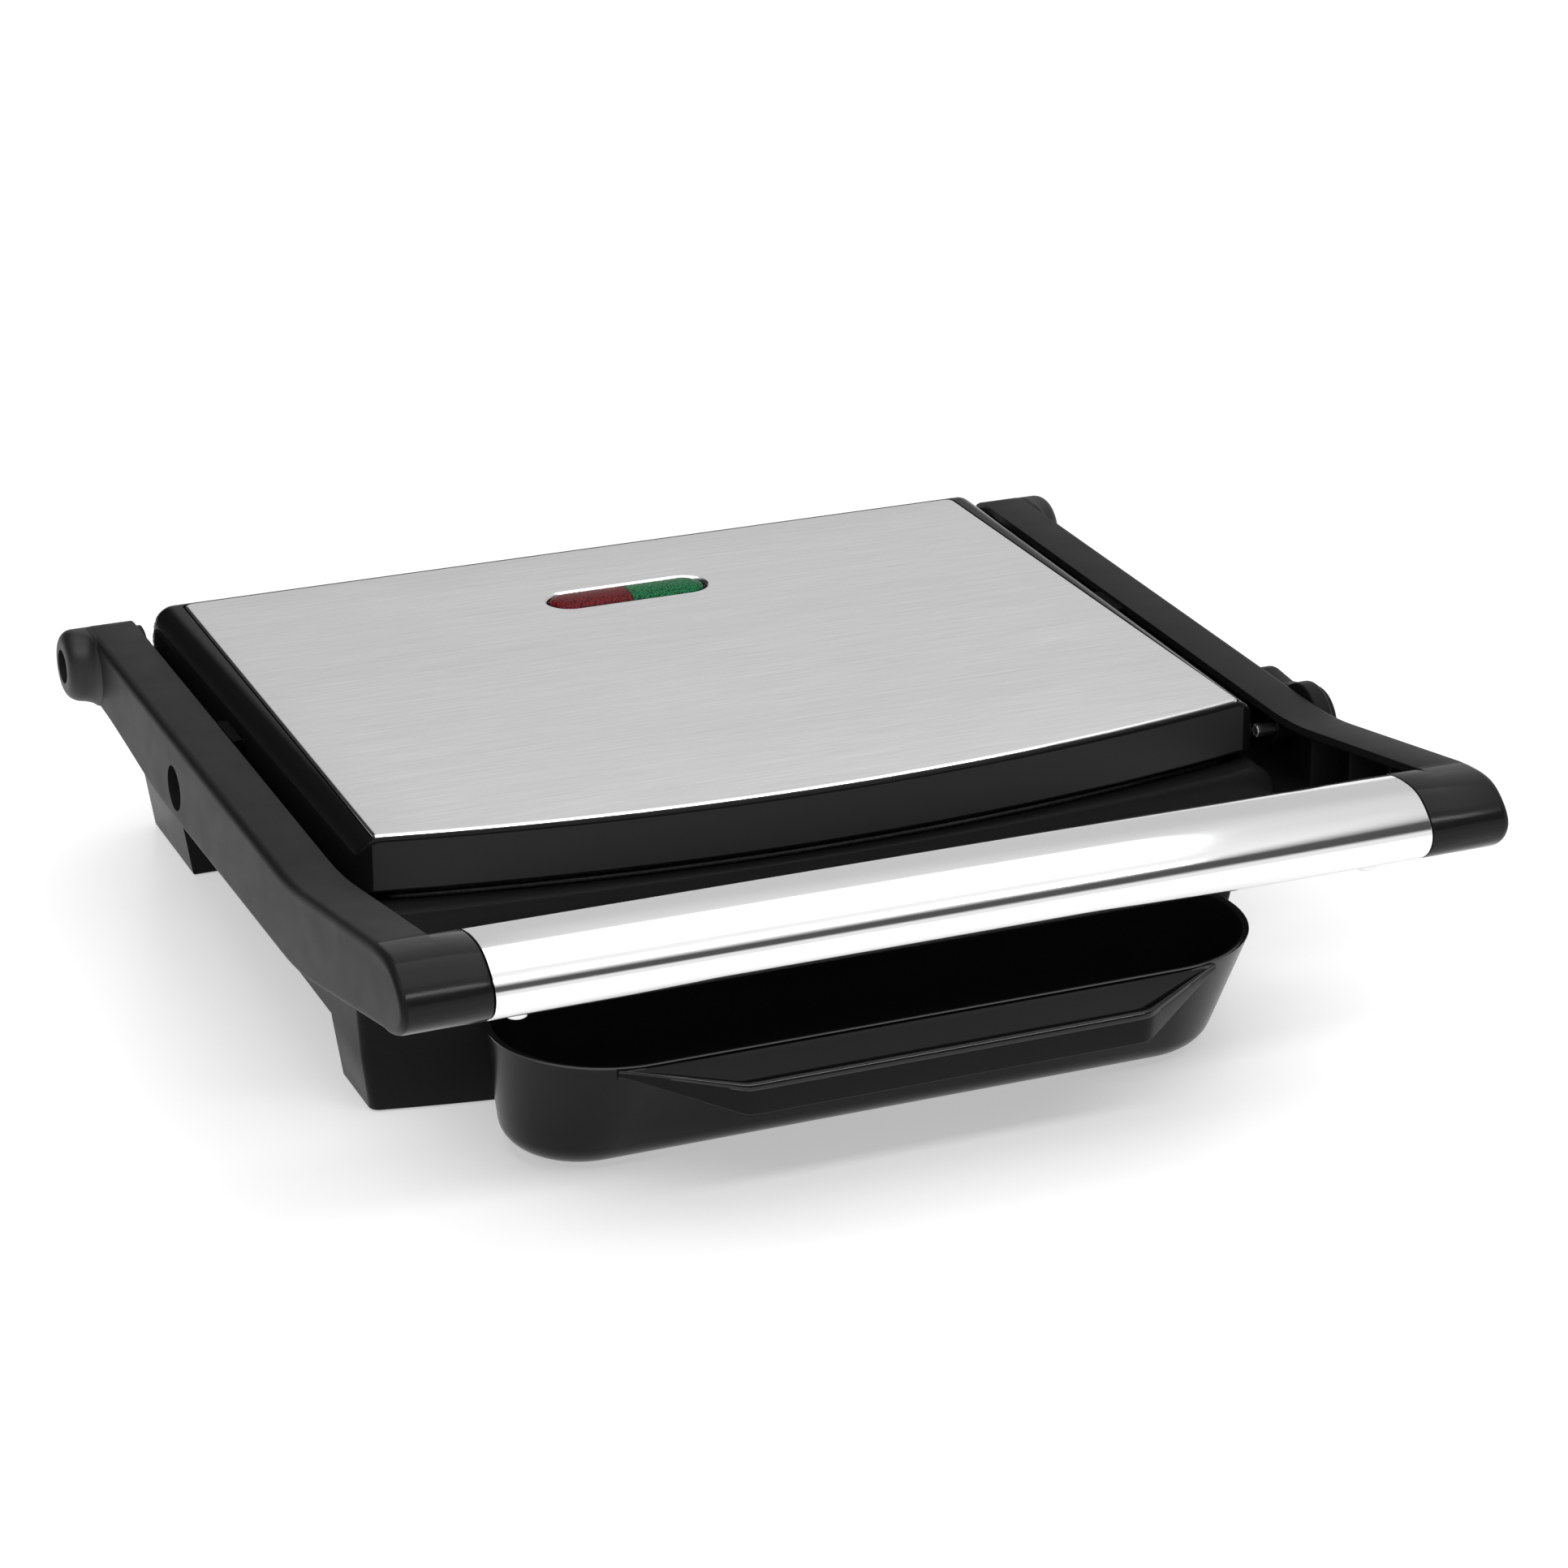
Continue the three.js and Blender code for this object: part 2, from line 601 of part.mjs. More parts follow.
function armBody() {
  const profile = armProfile();
  const section = handleSection();
  const hollow = loftX([
    { at: ARM_INNER - 1, outline: inset(profile, ARM_WALL) },
    { at: ARM_OUTER - 3.4, outline: inset(profile, 3) },
  ]);
  const webs = [-172, -148, -124, -64, -36, 44, 76].map((y) =>
    box([ARM_INNER + 0.6, ARM_OUTER - 2], [y - 0.8, y + 0.8], [50, 110]).intersect(hollow),
  );
  const capCore = loftX([
    { at: SLEEVE_END + GAP + 3, outline: inset(section, 3) },
    { at: ARM_OUTER - 4, outline: inset(section, 3.4) },
  ]);
  const spigot = cut(
    loftX([
      { at: 120, outline: inset(section, 3.4) },
      { at: 122, outline: inset(section, 2.6) },
      { at: SLEEVE_END + 2, outline: inset(section, 2.6) },
    ]),
    rodZ([HANDLE_SCREW.x, HANDLE_SCREW.y], 1.9, [70, 95], 12),
  );
  const shell = union(
    softEnd(profile, [ARM_INNER, ARM_OUTER], 3.6),
    softEnd(section, [SLEEVE_END + GAP, ARM_OUTER + 0.1], 3),
    rodX(HINGE, 11.8, [ARM_OUTER - 1, BARREL_END - 1.6], 32),
    rodX(HINGE, 10.8, [ARM_OUTER - 1, BARREL_END - 0.5], 32),
    rodX(HINGE, 9.6, [ARM_OUTER - 1, BARREL_END], 32),
  );
  const openFrame = cut(shell, cut(hollow, capCore));
  const bosses = [
    rodX(PIVOT, PIVOT.bossRadius, [ARM_INNER + 0.2, ARM_OUTER - 2], 24),
    rodX(HINGE, 9.8, [ARM_INNER + 0.2, ARM_OUTER - 2], 24),
  ];
  return cut(
    union(openFrame, spigot, ...webs, ...bosses),
    rodX(PIVOT, 7.3, [ARM_OUTER - 8, ARM_OUTER + 1], 28),
    rodX(PIVOT, PIVOT.screwRadius + 0.3, [ARM_INNER - 1, ARM_OUTER], 16),
    rodX(HINGE, HINGE.pinRadius + 0.3, [ARM_INNER - 1, ARM_OUTER + 1.6], 20),
    rodX(HINGE, 5.7, [BARREL_END - 5, BARREL_END + 1], 24),
  );
}

function rightArm() {
  return cut(
    union(armBody(), rodX(LOCK, 7.6, [ARM_INNER + 4, ARM_OUTER - 2], 20)),
    rodX(LOCK, LOCK.shaftRadius + 0.3, [ARM_INNER - 1, ARM_OUTER + 1], 16),
  );
}

function handleSleeve() {
  const section = handleSection();
  const skin = (by, half) => loftX([-half, half].map((at) => ({ at, outline: inset(section, by) })));
  const { x, y } = HANDLE_SCREW;
  const screwHoles = [-x, x].map((place) => rodZ([place, y], 1.9, [70, 90], 12));
  return cut(skin(0, SLEEVE_END), skin(2, SLEEVE_END + 1), ...screwHoles);
}

function handleScrew() {
  const at = [HANDLE_SCREW.x, HANDLE_SCREW.y];
  return union(
    rodZ(at, 3.6, [HANDLE_BOTTOM - 2, HANDLE_BOTTOM - 0.3], 16),
    rodZ(at, 2.2, [HANDLE_BOTTOM - 2.6, HANDLE_BOTTOM - 2], 16, 3.6),
    rodZ(at, 1.5, [HANDLE_BOTTOM - 0.4, 92], 12),
  );
}

// ---------- lock lever on the right arm ----------
function lockKnob() {
  const tailEnd = { y: LOCK.y + 26, z: LOCK.z };
  const tailRadius = 9.4;
  const start = ARM_OUTER + GAP;
  const bar = (radius, end) => [
    rodX(tailEnd, radius, [start, end], 24),
    box([start, end], [LOCK.y, tailEnd.y], [LOCK.z - radius, LOCK.z + radius]),
  ];
  const tail = union(...bar(tailRadius, ARM_OUTER + 5.6), ...bar(tailRadius - 0.8, ARM_OUTER + 6.8));
  return cut(
    union(
      tail,
      rodX(LOCK, LOCK.knobRadius, [start, BARREL_END - 1.4], 36),
      rodX(LOCK, LOCK.knobRadius - 0.9, [start, BARREL_END], 36),
    ),
    rodX(LOCK, LOCK.shaftRadius + 0.3, [ARM_OUTER, ARM_OUTER + 5], 16),
  );
}

function lockShaft() {
  return union(
    rodX(LOCK, LOCK.shaftRadius, [ARM_INNER + 1, ARM_OUTER + 4.6], 16),
    rodX(LOCK, 5.4, [ARM_INNER + 1, ARM_INNER + 3.6], 18),
  );
}

// ---------- lid ----------
function topPlatePlan(grow) {
  return bowedPlan({
    ...TOP_PLATE,
    side: TOP_PLATE.side + grow,
    front: TOP_PLATE.front - grow,
    rear: TOP_PLATE.rear + grow,
    taper: PLATE_TAPER,
  });
}

function windowPill(grow) {
  return pill({ centre: WINDOW.centre, radius: WINDOW.radius + grow, half: WINDOW.half + grow }, 10);
}

function lidShell() {
  const taper = { taper: -LID_FLARE };
  const outer = loftZ(housingSections(LID_LEVELS, 0, taper));
  const roof = LID_TOP - 0.9 - 1.7;
  const hollow = loftZ(housingSections(clampLevels(LID_LEVELS, LID_BOTTOM - 1, roof), WALL, taper));
  const seat = loftZ([
    { at: LID_TOP - 0.9, outline: topPlatePlan(GAP) },
    { at: LID_TOP + 1, outline: topPlatePlan(GAP) },
  ]);
  const opening = loftZ([
    { at: roof - 2, outline: windowPill(0) },
    { at: LID_TOP + 1, outline: windowPill(0) },
  ]);
  return cut(outer, hollow, seat, opening);
}

function topPlate() {
  const low = LID_TOP - 0.6;
  const high = LID_TOP + 0.5;
  return cut(
    loftZ([
      { at: low, outline: topPlatePlan(0) },
      { at: high - 0.5, outline: topPlatePlan(0) },
      { at: high, outline: topPlatePlan(-0.7) },
    ]),
    loftZ([
      { at: low - 0.5, outline: windowPill(-0.9) },
      { at: high - 0.7, outline: windowPill(-0.5) },
      { at: high + 0.5, outline: windowPill(0.6) },
    ]),
  );
}

function lens(side) {
  const levels = [
    [90.2, -1.6],
    [93.6, -1.6],
    [94.9, -2.2],
    [95.7, -3.6],
    [96.2, -5.6],
  ];
  const dome = loftZ(levels.map(([at, grow]) => ({ at, outline: windowPill(grow) })));
  const half = side < 0 ? [-40, -0.15] : [0.15, 40];
  return dome.intersect(box(half, [40, 90], [80, 100]));
}

function lampHolder() {
  const outer = loftZ([
    { at: 85, outline: windowPill(1) },
    { at: 91.4, outline: windowPill(1) },
  ]);
  const chamber = (x) => box([x - 11, x + 11], [WINDOW.centre - 5, WINDOW.centre + 5], [86.2, 92]);
  const lensSeat = loftZ([
    { at: 89.8, outline: windowPill(-1.2) },
    { at: 92, outline: windowPill(-1.2) },
  ]);
  return cut(outer, chamber(-13), chamber(13), lensSeat);
}

function pivotBracket() {
  const x = [151, 154.2];
  const ear = union(
    rodX(PIVOT, 9, x, 28),
    box(x, [PIVOT.y - 9, PIVOT.y + 9], [PIVOT.z, 88]),
  );
  const studs = [-5, 5].map((dy) => rodX({ y: PIVOT.y + dy, z: 85 }, 1.6, [148, 151.6], 12));
  return cut(union(ear, ...studs), rodX(PIVOT, PIVOT.screwRadius + 0.3, [140, 160], 16));
}

function pivotStudHoles() {
  return [-1, 1].flatMap((side) =>
    [-5, 5].map((dy) => {
      const x = side < 0 ? [-152, -140] : [140, 152];
      return rodX({ y: PIVOT.y + dy, z: 85 }, 2, x, 12);
    }),
  );
}

function pivotScrew() {
  return union(
    rodX(PIVOT, PIVOT.screwRadius, [149, ARM_OUTER - 7], 16),
    rodX(PIVOT, 5.2, [ARM_OUTER - 7.6, ARM_OUTER - 4.6], 20),
  );
}

// ---------- drip tray ----------
function trayPlan({ height, grow = 0 }) {
  const share = Math.min(1, Math.max(0, height / TRAY.rim));
  const lean = 12 * (1 - share);
  return pill({
    centre: TRAY.centre + lean,
    radius: TRAY.radius - 13.6 * (1 - share) + grow,
    half: TRAY.half - 8 * (1 - share) + grow,
  });
}

function traySolid(inward, floor, top) {
  const soft = [
    [0, -7],
    [1.2, -3.8],
    [3.4, -1.6],
    [7, -0.3],
  ];
  const levels = soft.map(([up, grow]) => [floor + up, grow - inward]);
  levels.push([12 + floor, -inward], [30, -inward], [top, -inward]);
  return loftZ(levels.map(([at, grow]) => ({ at, outline: trayPlan({ height: at, grow }) })));
}

// The grip at the front of the tray: a shelf that narrows and thins towards both ends.
function lipSection(reach, drop) {
  const root = TRAY.centre - TRAY.radius + 4;
  return outlineOf([
    [root - 4 - reach, TRAY.rim - 0.5 - drop * 0.34 - Math.max(1.4, drop)],
    [root + 4, TRAY.rim - 5 - drop],
    [root, TRAY.rim - 0.2],
    [root - 3 - reach, TRAY.rim - 0.5 - drop * 0.3],
  ]);
}

function dripTray() {
  const stations = [
    [-95.5, 0.6, 0],
    [-63.5, 21.2, 9.2],
    [63.5, 21.2, 9.2],
    [95.5, 0.6, 0],
  ];
  const lip = loftX(stations.map(([at, reach, drop]) => ({ at, outline: lipSection(reach, drop) })));
  const inside = traySolid(TRAY.wall, TRAY.bottom + 2.4, TRAY.rim + 0.6);
  return cut(union(traySolid(0, TRAY.bottom, TRAY.rim), lip), inside);
}

// ---------- assembly ----------
const press = new THREE.Group();
press.name = "panini_press";

function add(name, shape, look) {
  const geometry = shape.isBufferGeometry ? shape : toGeometry(shape);
  const mesh = new THREE.Mesh(geometry, look.clone());
  mesh.name = name;
  press.add(mesh);
}

function corner([x, y]) {
  return (y < 0 ? "front" : "rear") + (x < 0 ? "_left" : "_right");
}

function addPair(name, shape, look) {
  const right = toGeometry(shape);
  add(name + "_right", right, look);
  add(name + "_left", mirrored(right), look);
}

add("base_shell", baseShell(), GLOSS_BLACK);
FOOT_PADS.forEach((at) => add("foot_pad_" + corner(at), footPad(at), RUBBER));
baseScrewPlaces().forEach((at) => add("base_screw_" + corner(at), baseScrew(at), STEEL));
add("lower_grill_plate", lowerPlate(), NON_STICK);
add("lower_element", element(60, 3.1, -66, 96), ELEMENT);
add("lower_reflector", lowerReflector(), STEEL);
add("cord_gland", cordGland(), MATTE_BLACK);
add("rear_stop_left", rearStop(-1), NATURAL);
add("rear_stop_right", rearStop(1), NATURAL);
addPair("hinge_bracket", hingeBracket(), MATTE_BLACK);
addPair("hinge_pin", hingePin(), STEEL);

add("arm_right", rightArm(), MATTE_BLACK);
add("arm_left", mirrored(toGeometry(armBody())), MATTE_BLACK);
add("handle_sleeve", handleSleeve(), ALUMINIUM);
addPair("handle_screw", handleScrew(), STEEL);

add("lock_lever", lockKnob(), MATTE_BLACK);
add("lock_shaft", lockShaft(), STEEL);

add("lid_shell", cut(lidShell(), ...pivotStudHoles()), GLOSS_BLACK);
add("top_plate", topPlate(), BRUSHED);
add("lamp_lens_red", lens(-1), RED_LENS);
add("lamp_lens_green", lens(1), GREEN_LENS);
add("lamp_holder", lampHolder(), NATURAL);
add("upper_grill_plate", upperPlate(), NON_STICK);
add("upper_element", element(87.3, 2.5, -70, 107), ELEMENT);
add("upper_reflector", upperReflector(), STEEL);
add("thermostat", thermostat(), STEEL);
addPair("pivot_bracket", pivotBracket(), STEEL);
addPair("pivot_screw", pivotScrew(), STEEL);

add("drip_tray", dripTray(), TRAY_BLACK);

press.position.y = CENTRE_SHIFT;

export default press;
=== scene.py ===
"""The looks of a panini press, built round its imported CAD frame.

Metres, +Z up, the handle side faces -Y. Places come from the CAD boxes and joints.
"""

import json
import math

import bmesh
import bpy
from mathutils import Matrix, Vector


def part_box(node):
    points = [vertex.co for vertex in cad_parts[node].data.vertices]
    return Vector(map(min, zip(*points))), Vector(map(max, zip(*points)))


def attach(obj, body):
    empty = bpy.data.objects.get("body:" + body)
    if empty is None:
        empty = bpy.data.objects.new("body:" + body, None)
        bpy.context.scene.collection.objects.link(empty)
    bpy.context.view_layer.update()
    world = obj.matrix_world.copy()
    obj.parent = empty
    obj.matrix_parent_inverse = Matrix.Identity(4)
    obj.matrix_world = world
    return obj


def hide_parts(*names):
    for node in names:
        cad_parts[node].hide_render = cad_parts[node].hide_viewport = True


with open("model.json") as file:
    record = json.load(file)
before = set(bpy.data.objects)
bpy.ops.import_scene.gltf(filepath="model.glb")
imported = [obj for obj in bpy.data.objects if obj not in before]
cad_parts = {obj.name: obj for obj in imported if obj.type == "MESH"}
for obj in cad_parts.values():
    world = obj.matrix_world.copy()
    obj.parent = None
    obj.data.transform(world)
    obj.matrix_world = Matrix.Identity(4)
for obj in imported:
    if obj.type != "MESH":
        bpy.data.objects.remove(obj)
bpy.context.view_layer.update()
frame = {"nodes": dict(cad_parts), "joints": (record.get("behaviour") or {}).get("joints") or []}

MM = 0.001
FAR = 0.3  # half of a cutting box that reaches past the whole press
OVER = 0.01  # how far a cutting tool stands out of what it cuts
FRONT_CURVE = 0.786  # the bowed fronts: y = middle + FRONT_CURVE * x * x
LID_FLARE = 0.065  # the lid shell widens by this share per metre towards the rear
LID_FLARE_START = 0.027  # the place along Y where the lid has its nominal width
LID_FLARE_REACH = 0.12  # the lid is widest this far behind that place
PLATE_TAPER = 0.084  # the steel plate narrows by this share per metre towards the rear
PLATE_TAPER_REACH = 0.105  # and is widest this far in front of Y = 0

BASE_LOW, BASE_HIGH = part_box("base_shell")
LID_LOW, LID_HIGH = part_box("lid_shell")
PLATE_LOW, PLATE_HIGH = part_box("top_plate")
TRAY_LOW, TRAY_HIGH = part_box("drip_tray")
SLEEVE_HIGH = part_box("handle_sleeve")[1]
RED_LOW, RED_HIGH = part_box("lamp_lens_red")
GREEN_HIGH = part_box("lamp_lens_green")[1]

JOINTS = {j["name"]: Vector(j["pos_m"]) for j in frame["joints"] if j.get("pos_m")}
HINGE = JOINTS["arm_hinge"]
PIVOT = JOINTS["lid_float"]
LOCK = JOINTS["lock_turn"]
AHEAD = HINGE.y - 118 * MM  # where y = 0 of the part's drawing lies in the frame


# ---------- materials ----------
def node(tree, kind, **settings):
    made = tree.nodes.new(kind)
    for key, value in settings.items():
        setattr(made, key, value)
    return made


def plain_material(name, colour, roughness, metallic=0.0, **sockets):
    """A Principled material with uniform values on its own sockets."""
    material = bpy.data.materials.new(name)
    material.use_nodes = True
    shader = material.node_tree.nodes["Principled BSDF"]
    shader.inputs["Base Color"].default_value = (*colour, 1)
    shader.inputs["Roughness"].default_value = roughness
    shader.inputs["Metallic"].default_value = metallic
    for key, value in sockets.items():
        shader.inputs[key.replace("_", " ")].default_value = value
    return material


def noise(material, scale, detail=3.0, stretch=(1, 1, 1), roughness=0.5):
    """The factor of a noise fixed to the piece, stretched along its axes."""
    tree = material.node_tree
    place = node(tree, "ShaderNodeTexCoord")
    mapping = node(tree, "ShaderNodeMapping")
    mapping.inputs["Scale"].default_value = stretch
    texture = node(tree, "ShaderNodeTexNoise")
    texture.inputs["Scale"].default_value = scale
    texture.inputs["Detail"].default_value = detail
    texture.inputs["Roughness"].default_value = roughness
    tree.links.new(place.outputs["Object"], mapping.inputs["Vector"])
    tree.links.new(mapping.outputs["Vector"], texture.inputs["Vector"])
    return texture.outputs[0]


def spread(material, factor, low, high, socket):
    """Drives a socket with a factor turned into the range low to high."""
    tree = material.node_tree
    ramp = node(tree, "ShaderNodeMapRange")
    ramp.inputs["From Min"].default_value = 0.3
    ramp.inputs["From Max"].default_value = 0.7
    ramp.inputs["To Min"].default_value = low
    ramp.inputs["To Max"].default_value = high
    tree.links.new(factor, ramp.inputs["Value"])
    tree.links.new(ramp.outputs["Result"], tree.nodes["Principled BSDF"].inputs[socket])


def tint(material, factor, dark, light):
    """Mixes two base colours by a factor."""
    tree = material.node_tree
    ramp = node(tree, "ShaderNodeValToRGB")
    ramp.color_ramp.elements[0].position = 0.35
    ramp.color_ramp.elements[0].color = (*dark, 1)
    ramp.color_ramp.elements[1].position = 0.65
    ramp.color_ramp.elements[1].color = (*light, 1)
    tree.links.new(factor, ramp.inputs["Fac"])
    tree.links.new(ramp.outputs["Color"], tree.nodes["Principled BSDF"].inputs["Base Color"])


def bump(material, factor, distance, strength=1.0, after=None):
    """Adds a bump from a factor, on top of an earlier one if given. Returns its normal."""
    tree = material.node_tree
    made = node(tree, "ShaderNodeBump")
    made.inputs["Strength"].default_value = strength
    made.inputs["Distance"].default_value = distance
    tree.links.new(factor, made.inputs["Height"])
    if after is not None:
        tree.links.new(after, made.inputs["Normal"])
    tree.links.new(made.outputs["Normal"], tree.nodes["Principled BSDF"].inputs["Normal"])
    return made.outputs["Normal"]


def gloss_black(name="gloss_black", roughness=0.13, level=0.07, grey=0.005):
    material = plain_material(name, (grey, grey, grey * 1.03), roughness, Specular_IOR_Level=level)
    spread(material, noise(material, 60, 5), roughness - 0.01, roughness + 0.04, "Roughness")
    bump(material, noise(material, 900, 2), 0.00002, 0.25)
    return material


def matte_black(name="matte_black", roughness=0.42, level=0.09):
    material = plain_material(name, (0.008, 0.008, 0.0083), roughness, Specular_IOR_Level=level)
    spread(material, noise(material, 80, 5), roughness - 0.02, roughness + 0.03, "Roughness")
    bump(material, noise(material, 2600, 3), 0.00004, 0.35)
    return material


# Painted light: the lid's black plastic is real, but this lighter grey stands in for front light on
# the flat front panel. The satin roughness is the panel's own.
def front_lit_panel_black():
    material = plain_material("front_lit_panel_black", (0.021, 0.021, 0.0213), 0.42, Specular_IOR_Level=0.1)
    spread(material, noise(material, 60, 4), 0.4, 0.46, "Roughness")
    bump(material, noise(material, 2200, 2), 0.00003, 0.3)
    return material


def tray_black():
    material = plain_material("tray_black", (0.003, 0.003, 0.0031), 0.2, Specular_IOR_Level=0.12)
    spread(material, noise(material, 20, 3), 0.2, 0.24, "Roughness")
    bump(material, noise(material, 1400, 3), 0.00003, 0.25)
    return material


def brushed_steel():
    """Fine lines along X: the noise changes slowly along X and fast across it."""
    material = plain_material("brushed_steel", (0.8, 0.8, 0.805), 0.34, 1.0)
    lines = noise(material, 1, 6, (30, 3400, 40), 0.8)
    broad = noise(material, 1, 3, (2, 14, 10), 0.5)
    spread(material, broad, 0.32, 0.38, "Roughness")
    tint(material, lines, (0.68, 0.68, 0.685), (0.9, 0.9, 0.905))
    bump(material, lines, 0.00003, 0.4)
    return material


def aluminium():
    material = plain_material("aluminium", (0.9, 0.9, 0.905), 0.1, 1.0)
    lines = noise(material, 1, 5, (30, 1800, 1800), 0.7)
    spread(material, lines, 0.08, 0.13, "Roughness")
    bump(material, lines, 0.000015, 0.25)
    return material


def steel(name="plain_steel", colour=(0.5, 0.51, 0.52), roughness=0.32):
    material = plain_material(name, colour, roughness, 1.0)
    spread(material, noise(material, 120, 5), roughness - 0.06, roughness + 0.08, "Roughness")
    bump(material, noise(material, 700, 3), 0.00002, 0.3)
    return material


def non_stick():
    material = plain_material("non_stick", (0.02, 0.02, 0.021), 0.42)
    speckle = noise(material, 900, 3)
    tint(material, speckle, (0.012, 0.012, 0.0125), (0.036, 0.036, 0.038))
    spread(material, noise(material, 40, 5), 0.34, 0.5, "Roughness")
    bump(material, speckle, 0.00004, 0.4)
    return material


# Painted shade: an almost lightless black that barely reflects, so the pivot brackets read as the
# shade in the gap between the lid and the arms. The brackets themselves are black metal.
def gap_shade_black():
    material = plain_material("gap_shade_black", (0.001, 0.001, 0.001), 0.6, Specular_IOR_Level=0.02)
    bump(material, noise(material, 900, 3), 0.00003, 0.3)
    return material


def rubber():
    material = plain_material("rubber", (0.012, 0.012, 0.012), 0.8)
    bump(material, noise(material, 900, 4), 0.0001, 0.6)
    return material


def lens(name, dark, light):
    """A clear-coated coloured lens over a field of fine facets."""
    material = plain_material(
        name, light, 0.3, Specular_IOR_Level=0.06, Coat_Weight=0.12, Coat_Roughness=0.04
    )
    tree = material.node_tree
    place = node(tree, "ShaderNodeTexCoord")
    cells = node(tree, "ShaderNodeTexVoronoi")
    cells.inputs["Scale"].default_value = 1700
    tree.links.new(place.outputs["Object"], cells.inputs["Vector"])
    tint(material, cells.outputs["Distance"], light, dark)
    bump(material, cells.outputs["Distance"], 0.0004, 0.6)
    return material


def natural_plastic():
    material = plain_material("natural_plastic", (0.62, 0.61, 0.58), 0.35)
    spread(material, noise(material, 300, 4), 0.28, 0.42, "Roughness")
    bump(material, noise(material, 900, 3), 0.00003, 0.4)
    return material


def white_floor():
    material = plain_material("white_floor", (0.62, 0.62, 0.62), 0.3, Specular_IOR_Level=0.3)
    spread(material, noise(material, 6, 2), 0.28, 0.32, "Roughness")
    shader = material.node_tree.nodes["Principled BSDF"]
    shader.inputs["Emission Color"].default_value = (1, 1, 1, 1)
    shader.inputs["Emission Strength"].default_value = 0.46
    return material


GLOSS_BLACK = gloss_black()
# Painted light: the base is the same black plastic as the lid, made lighter here so that its front
# band under the lid shows the grey that light gives it.
FRONT_LIT_BASE_BLACK = gloss_black("front_lit_base_black", 0.26, 0.03, 0.011)
EDGE_BLACK = gloss_black("edge_black", 0.1, 0.5)
MATTE_BLACK = matte_black()
GRIP_BLACK = matte_black("grip_black", 0.15, 0.16)
HUB_BLACK = matte_black("hub_black", 0.45, 0.36)
FRONT_LIT_PANEL_BLACK = front_lit_panel_black()
TRAY_BLACK = tray_black()
BRUSHED_STEEL = brushed_steel()
ALUMINIUM = aluminium()
PLAIN_STEEL = steel()
BRIGHT_STEEL = steel("bright_steel", (0.78, 0.785, 0.79), 0.14)
ELEMENT_TUBE = steel("element_tube", (0.22, 0.2, 0.18), 0.45)
NON_STICK = non_stick()
RUBBER = rubber()
GAP_SHADE_BLACK = gap_shade_black()
RED_LENS = lens("red_lens", (0.02, 0.0, 0.001), (0.17, 0.003, 0.006))
GREEN_LENS = lens("green_lens", (0.0, 0.028, 0.01), (0.001, 0.17, 0.05))
NATURAL = natural_plastic()


# ---------- meshes ----------
def loft(rings, cap_first=True, cap_last=True):
    """A skin through rings of the same number of points."""
    made = bmesh.new()
    levels = [[made.verts.new(p) for p in ring] for ring in rings]
    count = len(levels[0])
    for low, high in zip(levels, levels[1:]):
        for i in range(count):
            j = (i + 1) % count
            made.faces.new((low[i], low[j], high[j], high[i]))
    if cap_first:
        made.faces.new(list(reversed(levels[0])))
    if cap_last:
        made.faces.new(levels[-1])
    bmesh.ops.recalc_face_normals(made, faces=made.faces)
    return made


def loft_z(sections):
    """A loft of (z, outline) pairs, each outline a list of (x, y)."""
    return loft([[Vector((x, y, z)) for x, y in outline] for z, outline in sections])


def loft_x(sections):
    """A loft of (x, outline) pairs, each outline a list of (y, z)."""
    return loft([[Vector((x, y, z)) for y, z in outline] for x, outline in sections])


def join(*meshes):
    """One bmesh that holds all of them as separate shells."""
    whole = bmesh.new()
    for part in meshes:
        copy = bpy.data.meshes.new("part")
        part.to_mesh(copy)
        part.free()
        whole.from_mesh(copy)
        bpy.data.meshes.remove(copy)
    return whole


def object_of(name, made):
    mesh = bpy.data.meshes.new(name)
    made.to_mesh(mesh)
    made.free()
    made_object = bpy.data.objects.new(name, mesh)
    bpy.context.collection.objects.link(made_object)
    return made_object


def boolean(made, operation, *tools):
    """The mesh after a boolean with each tool in turn."""
    base = object_of("boolean_base", made)
    helpers = [object_of("boolean_tool", tool) for tool in tools]
    for helper in helpers:
        step = base.modifiers.new("boolean", "BOOLEAN")
        step.object = helper
        step.operation = operation
        step.solver = "MANIFOLD"
    graph = bpy.context.evaluated_depsgraph_get()
    result = bmesh.new()
    result.from_mesh(base.evaluated_get(graph).to_mesh())
    if not result.faces:
        raise ValueError("a boolean left nothing")
    for used in (base, *helpers):
        data = used.data
        bpy.data.objects.remove(used)
        bpy.data.meshes.remove(data)
    return result


def cut(made, *tools):
    return boolean(made, "DIFFERENCE", *tools)


def add(made, *tools):
    return boolean(made, "UNION", *tools)


def piece(name, made, material, body, slot, *nodes, sharp=35, bevel=0.0):
    """Makes a shown piece that rides on a body and stands for CAD nodes."""
    shown = object_of(name, made)
    shown.data.materials.append(material)
    if bevel:
        edge = shown.modifiers.new("bevel", "BEVEL")
        edge.width = bevel
        edge.segments = 3
        edge.limit_method = "ANGLE"
        edge.angle_limit = math.radians(40)
    shown.data.polygons.foreach_set("use_smooth", [True] * len(shown.data.polygons))
    shown.data.set_sharp_from_angle(angle=math.radians(sharp))
    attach(shown, body)
    if nodes:
        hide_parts(*nodes)
    return shown


def mirrored(made):
    """A copy on the other side of X = 0."""
    copy = made.copy()
    bmesh.ops.scale(copy, vec=(-1, 1, 1), verts=copy.verts)
    bmesh.ops.reverse_faces(copy, faces=copy.faces)
    return copy


def box(x, y, z):
    made = bmesh.new()
    bmesh.ops.create_cube(made, size=1)
    for vert in made.verts:
        vert.co = Vector(
            [low + (high - low) * (t + 0.5) for t, (low, high) in zip(vert.co, (x, y, z))]
        )
    return made


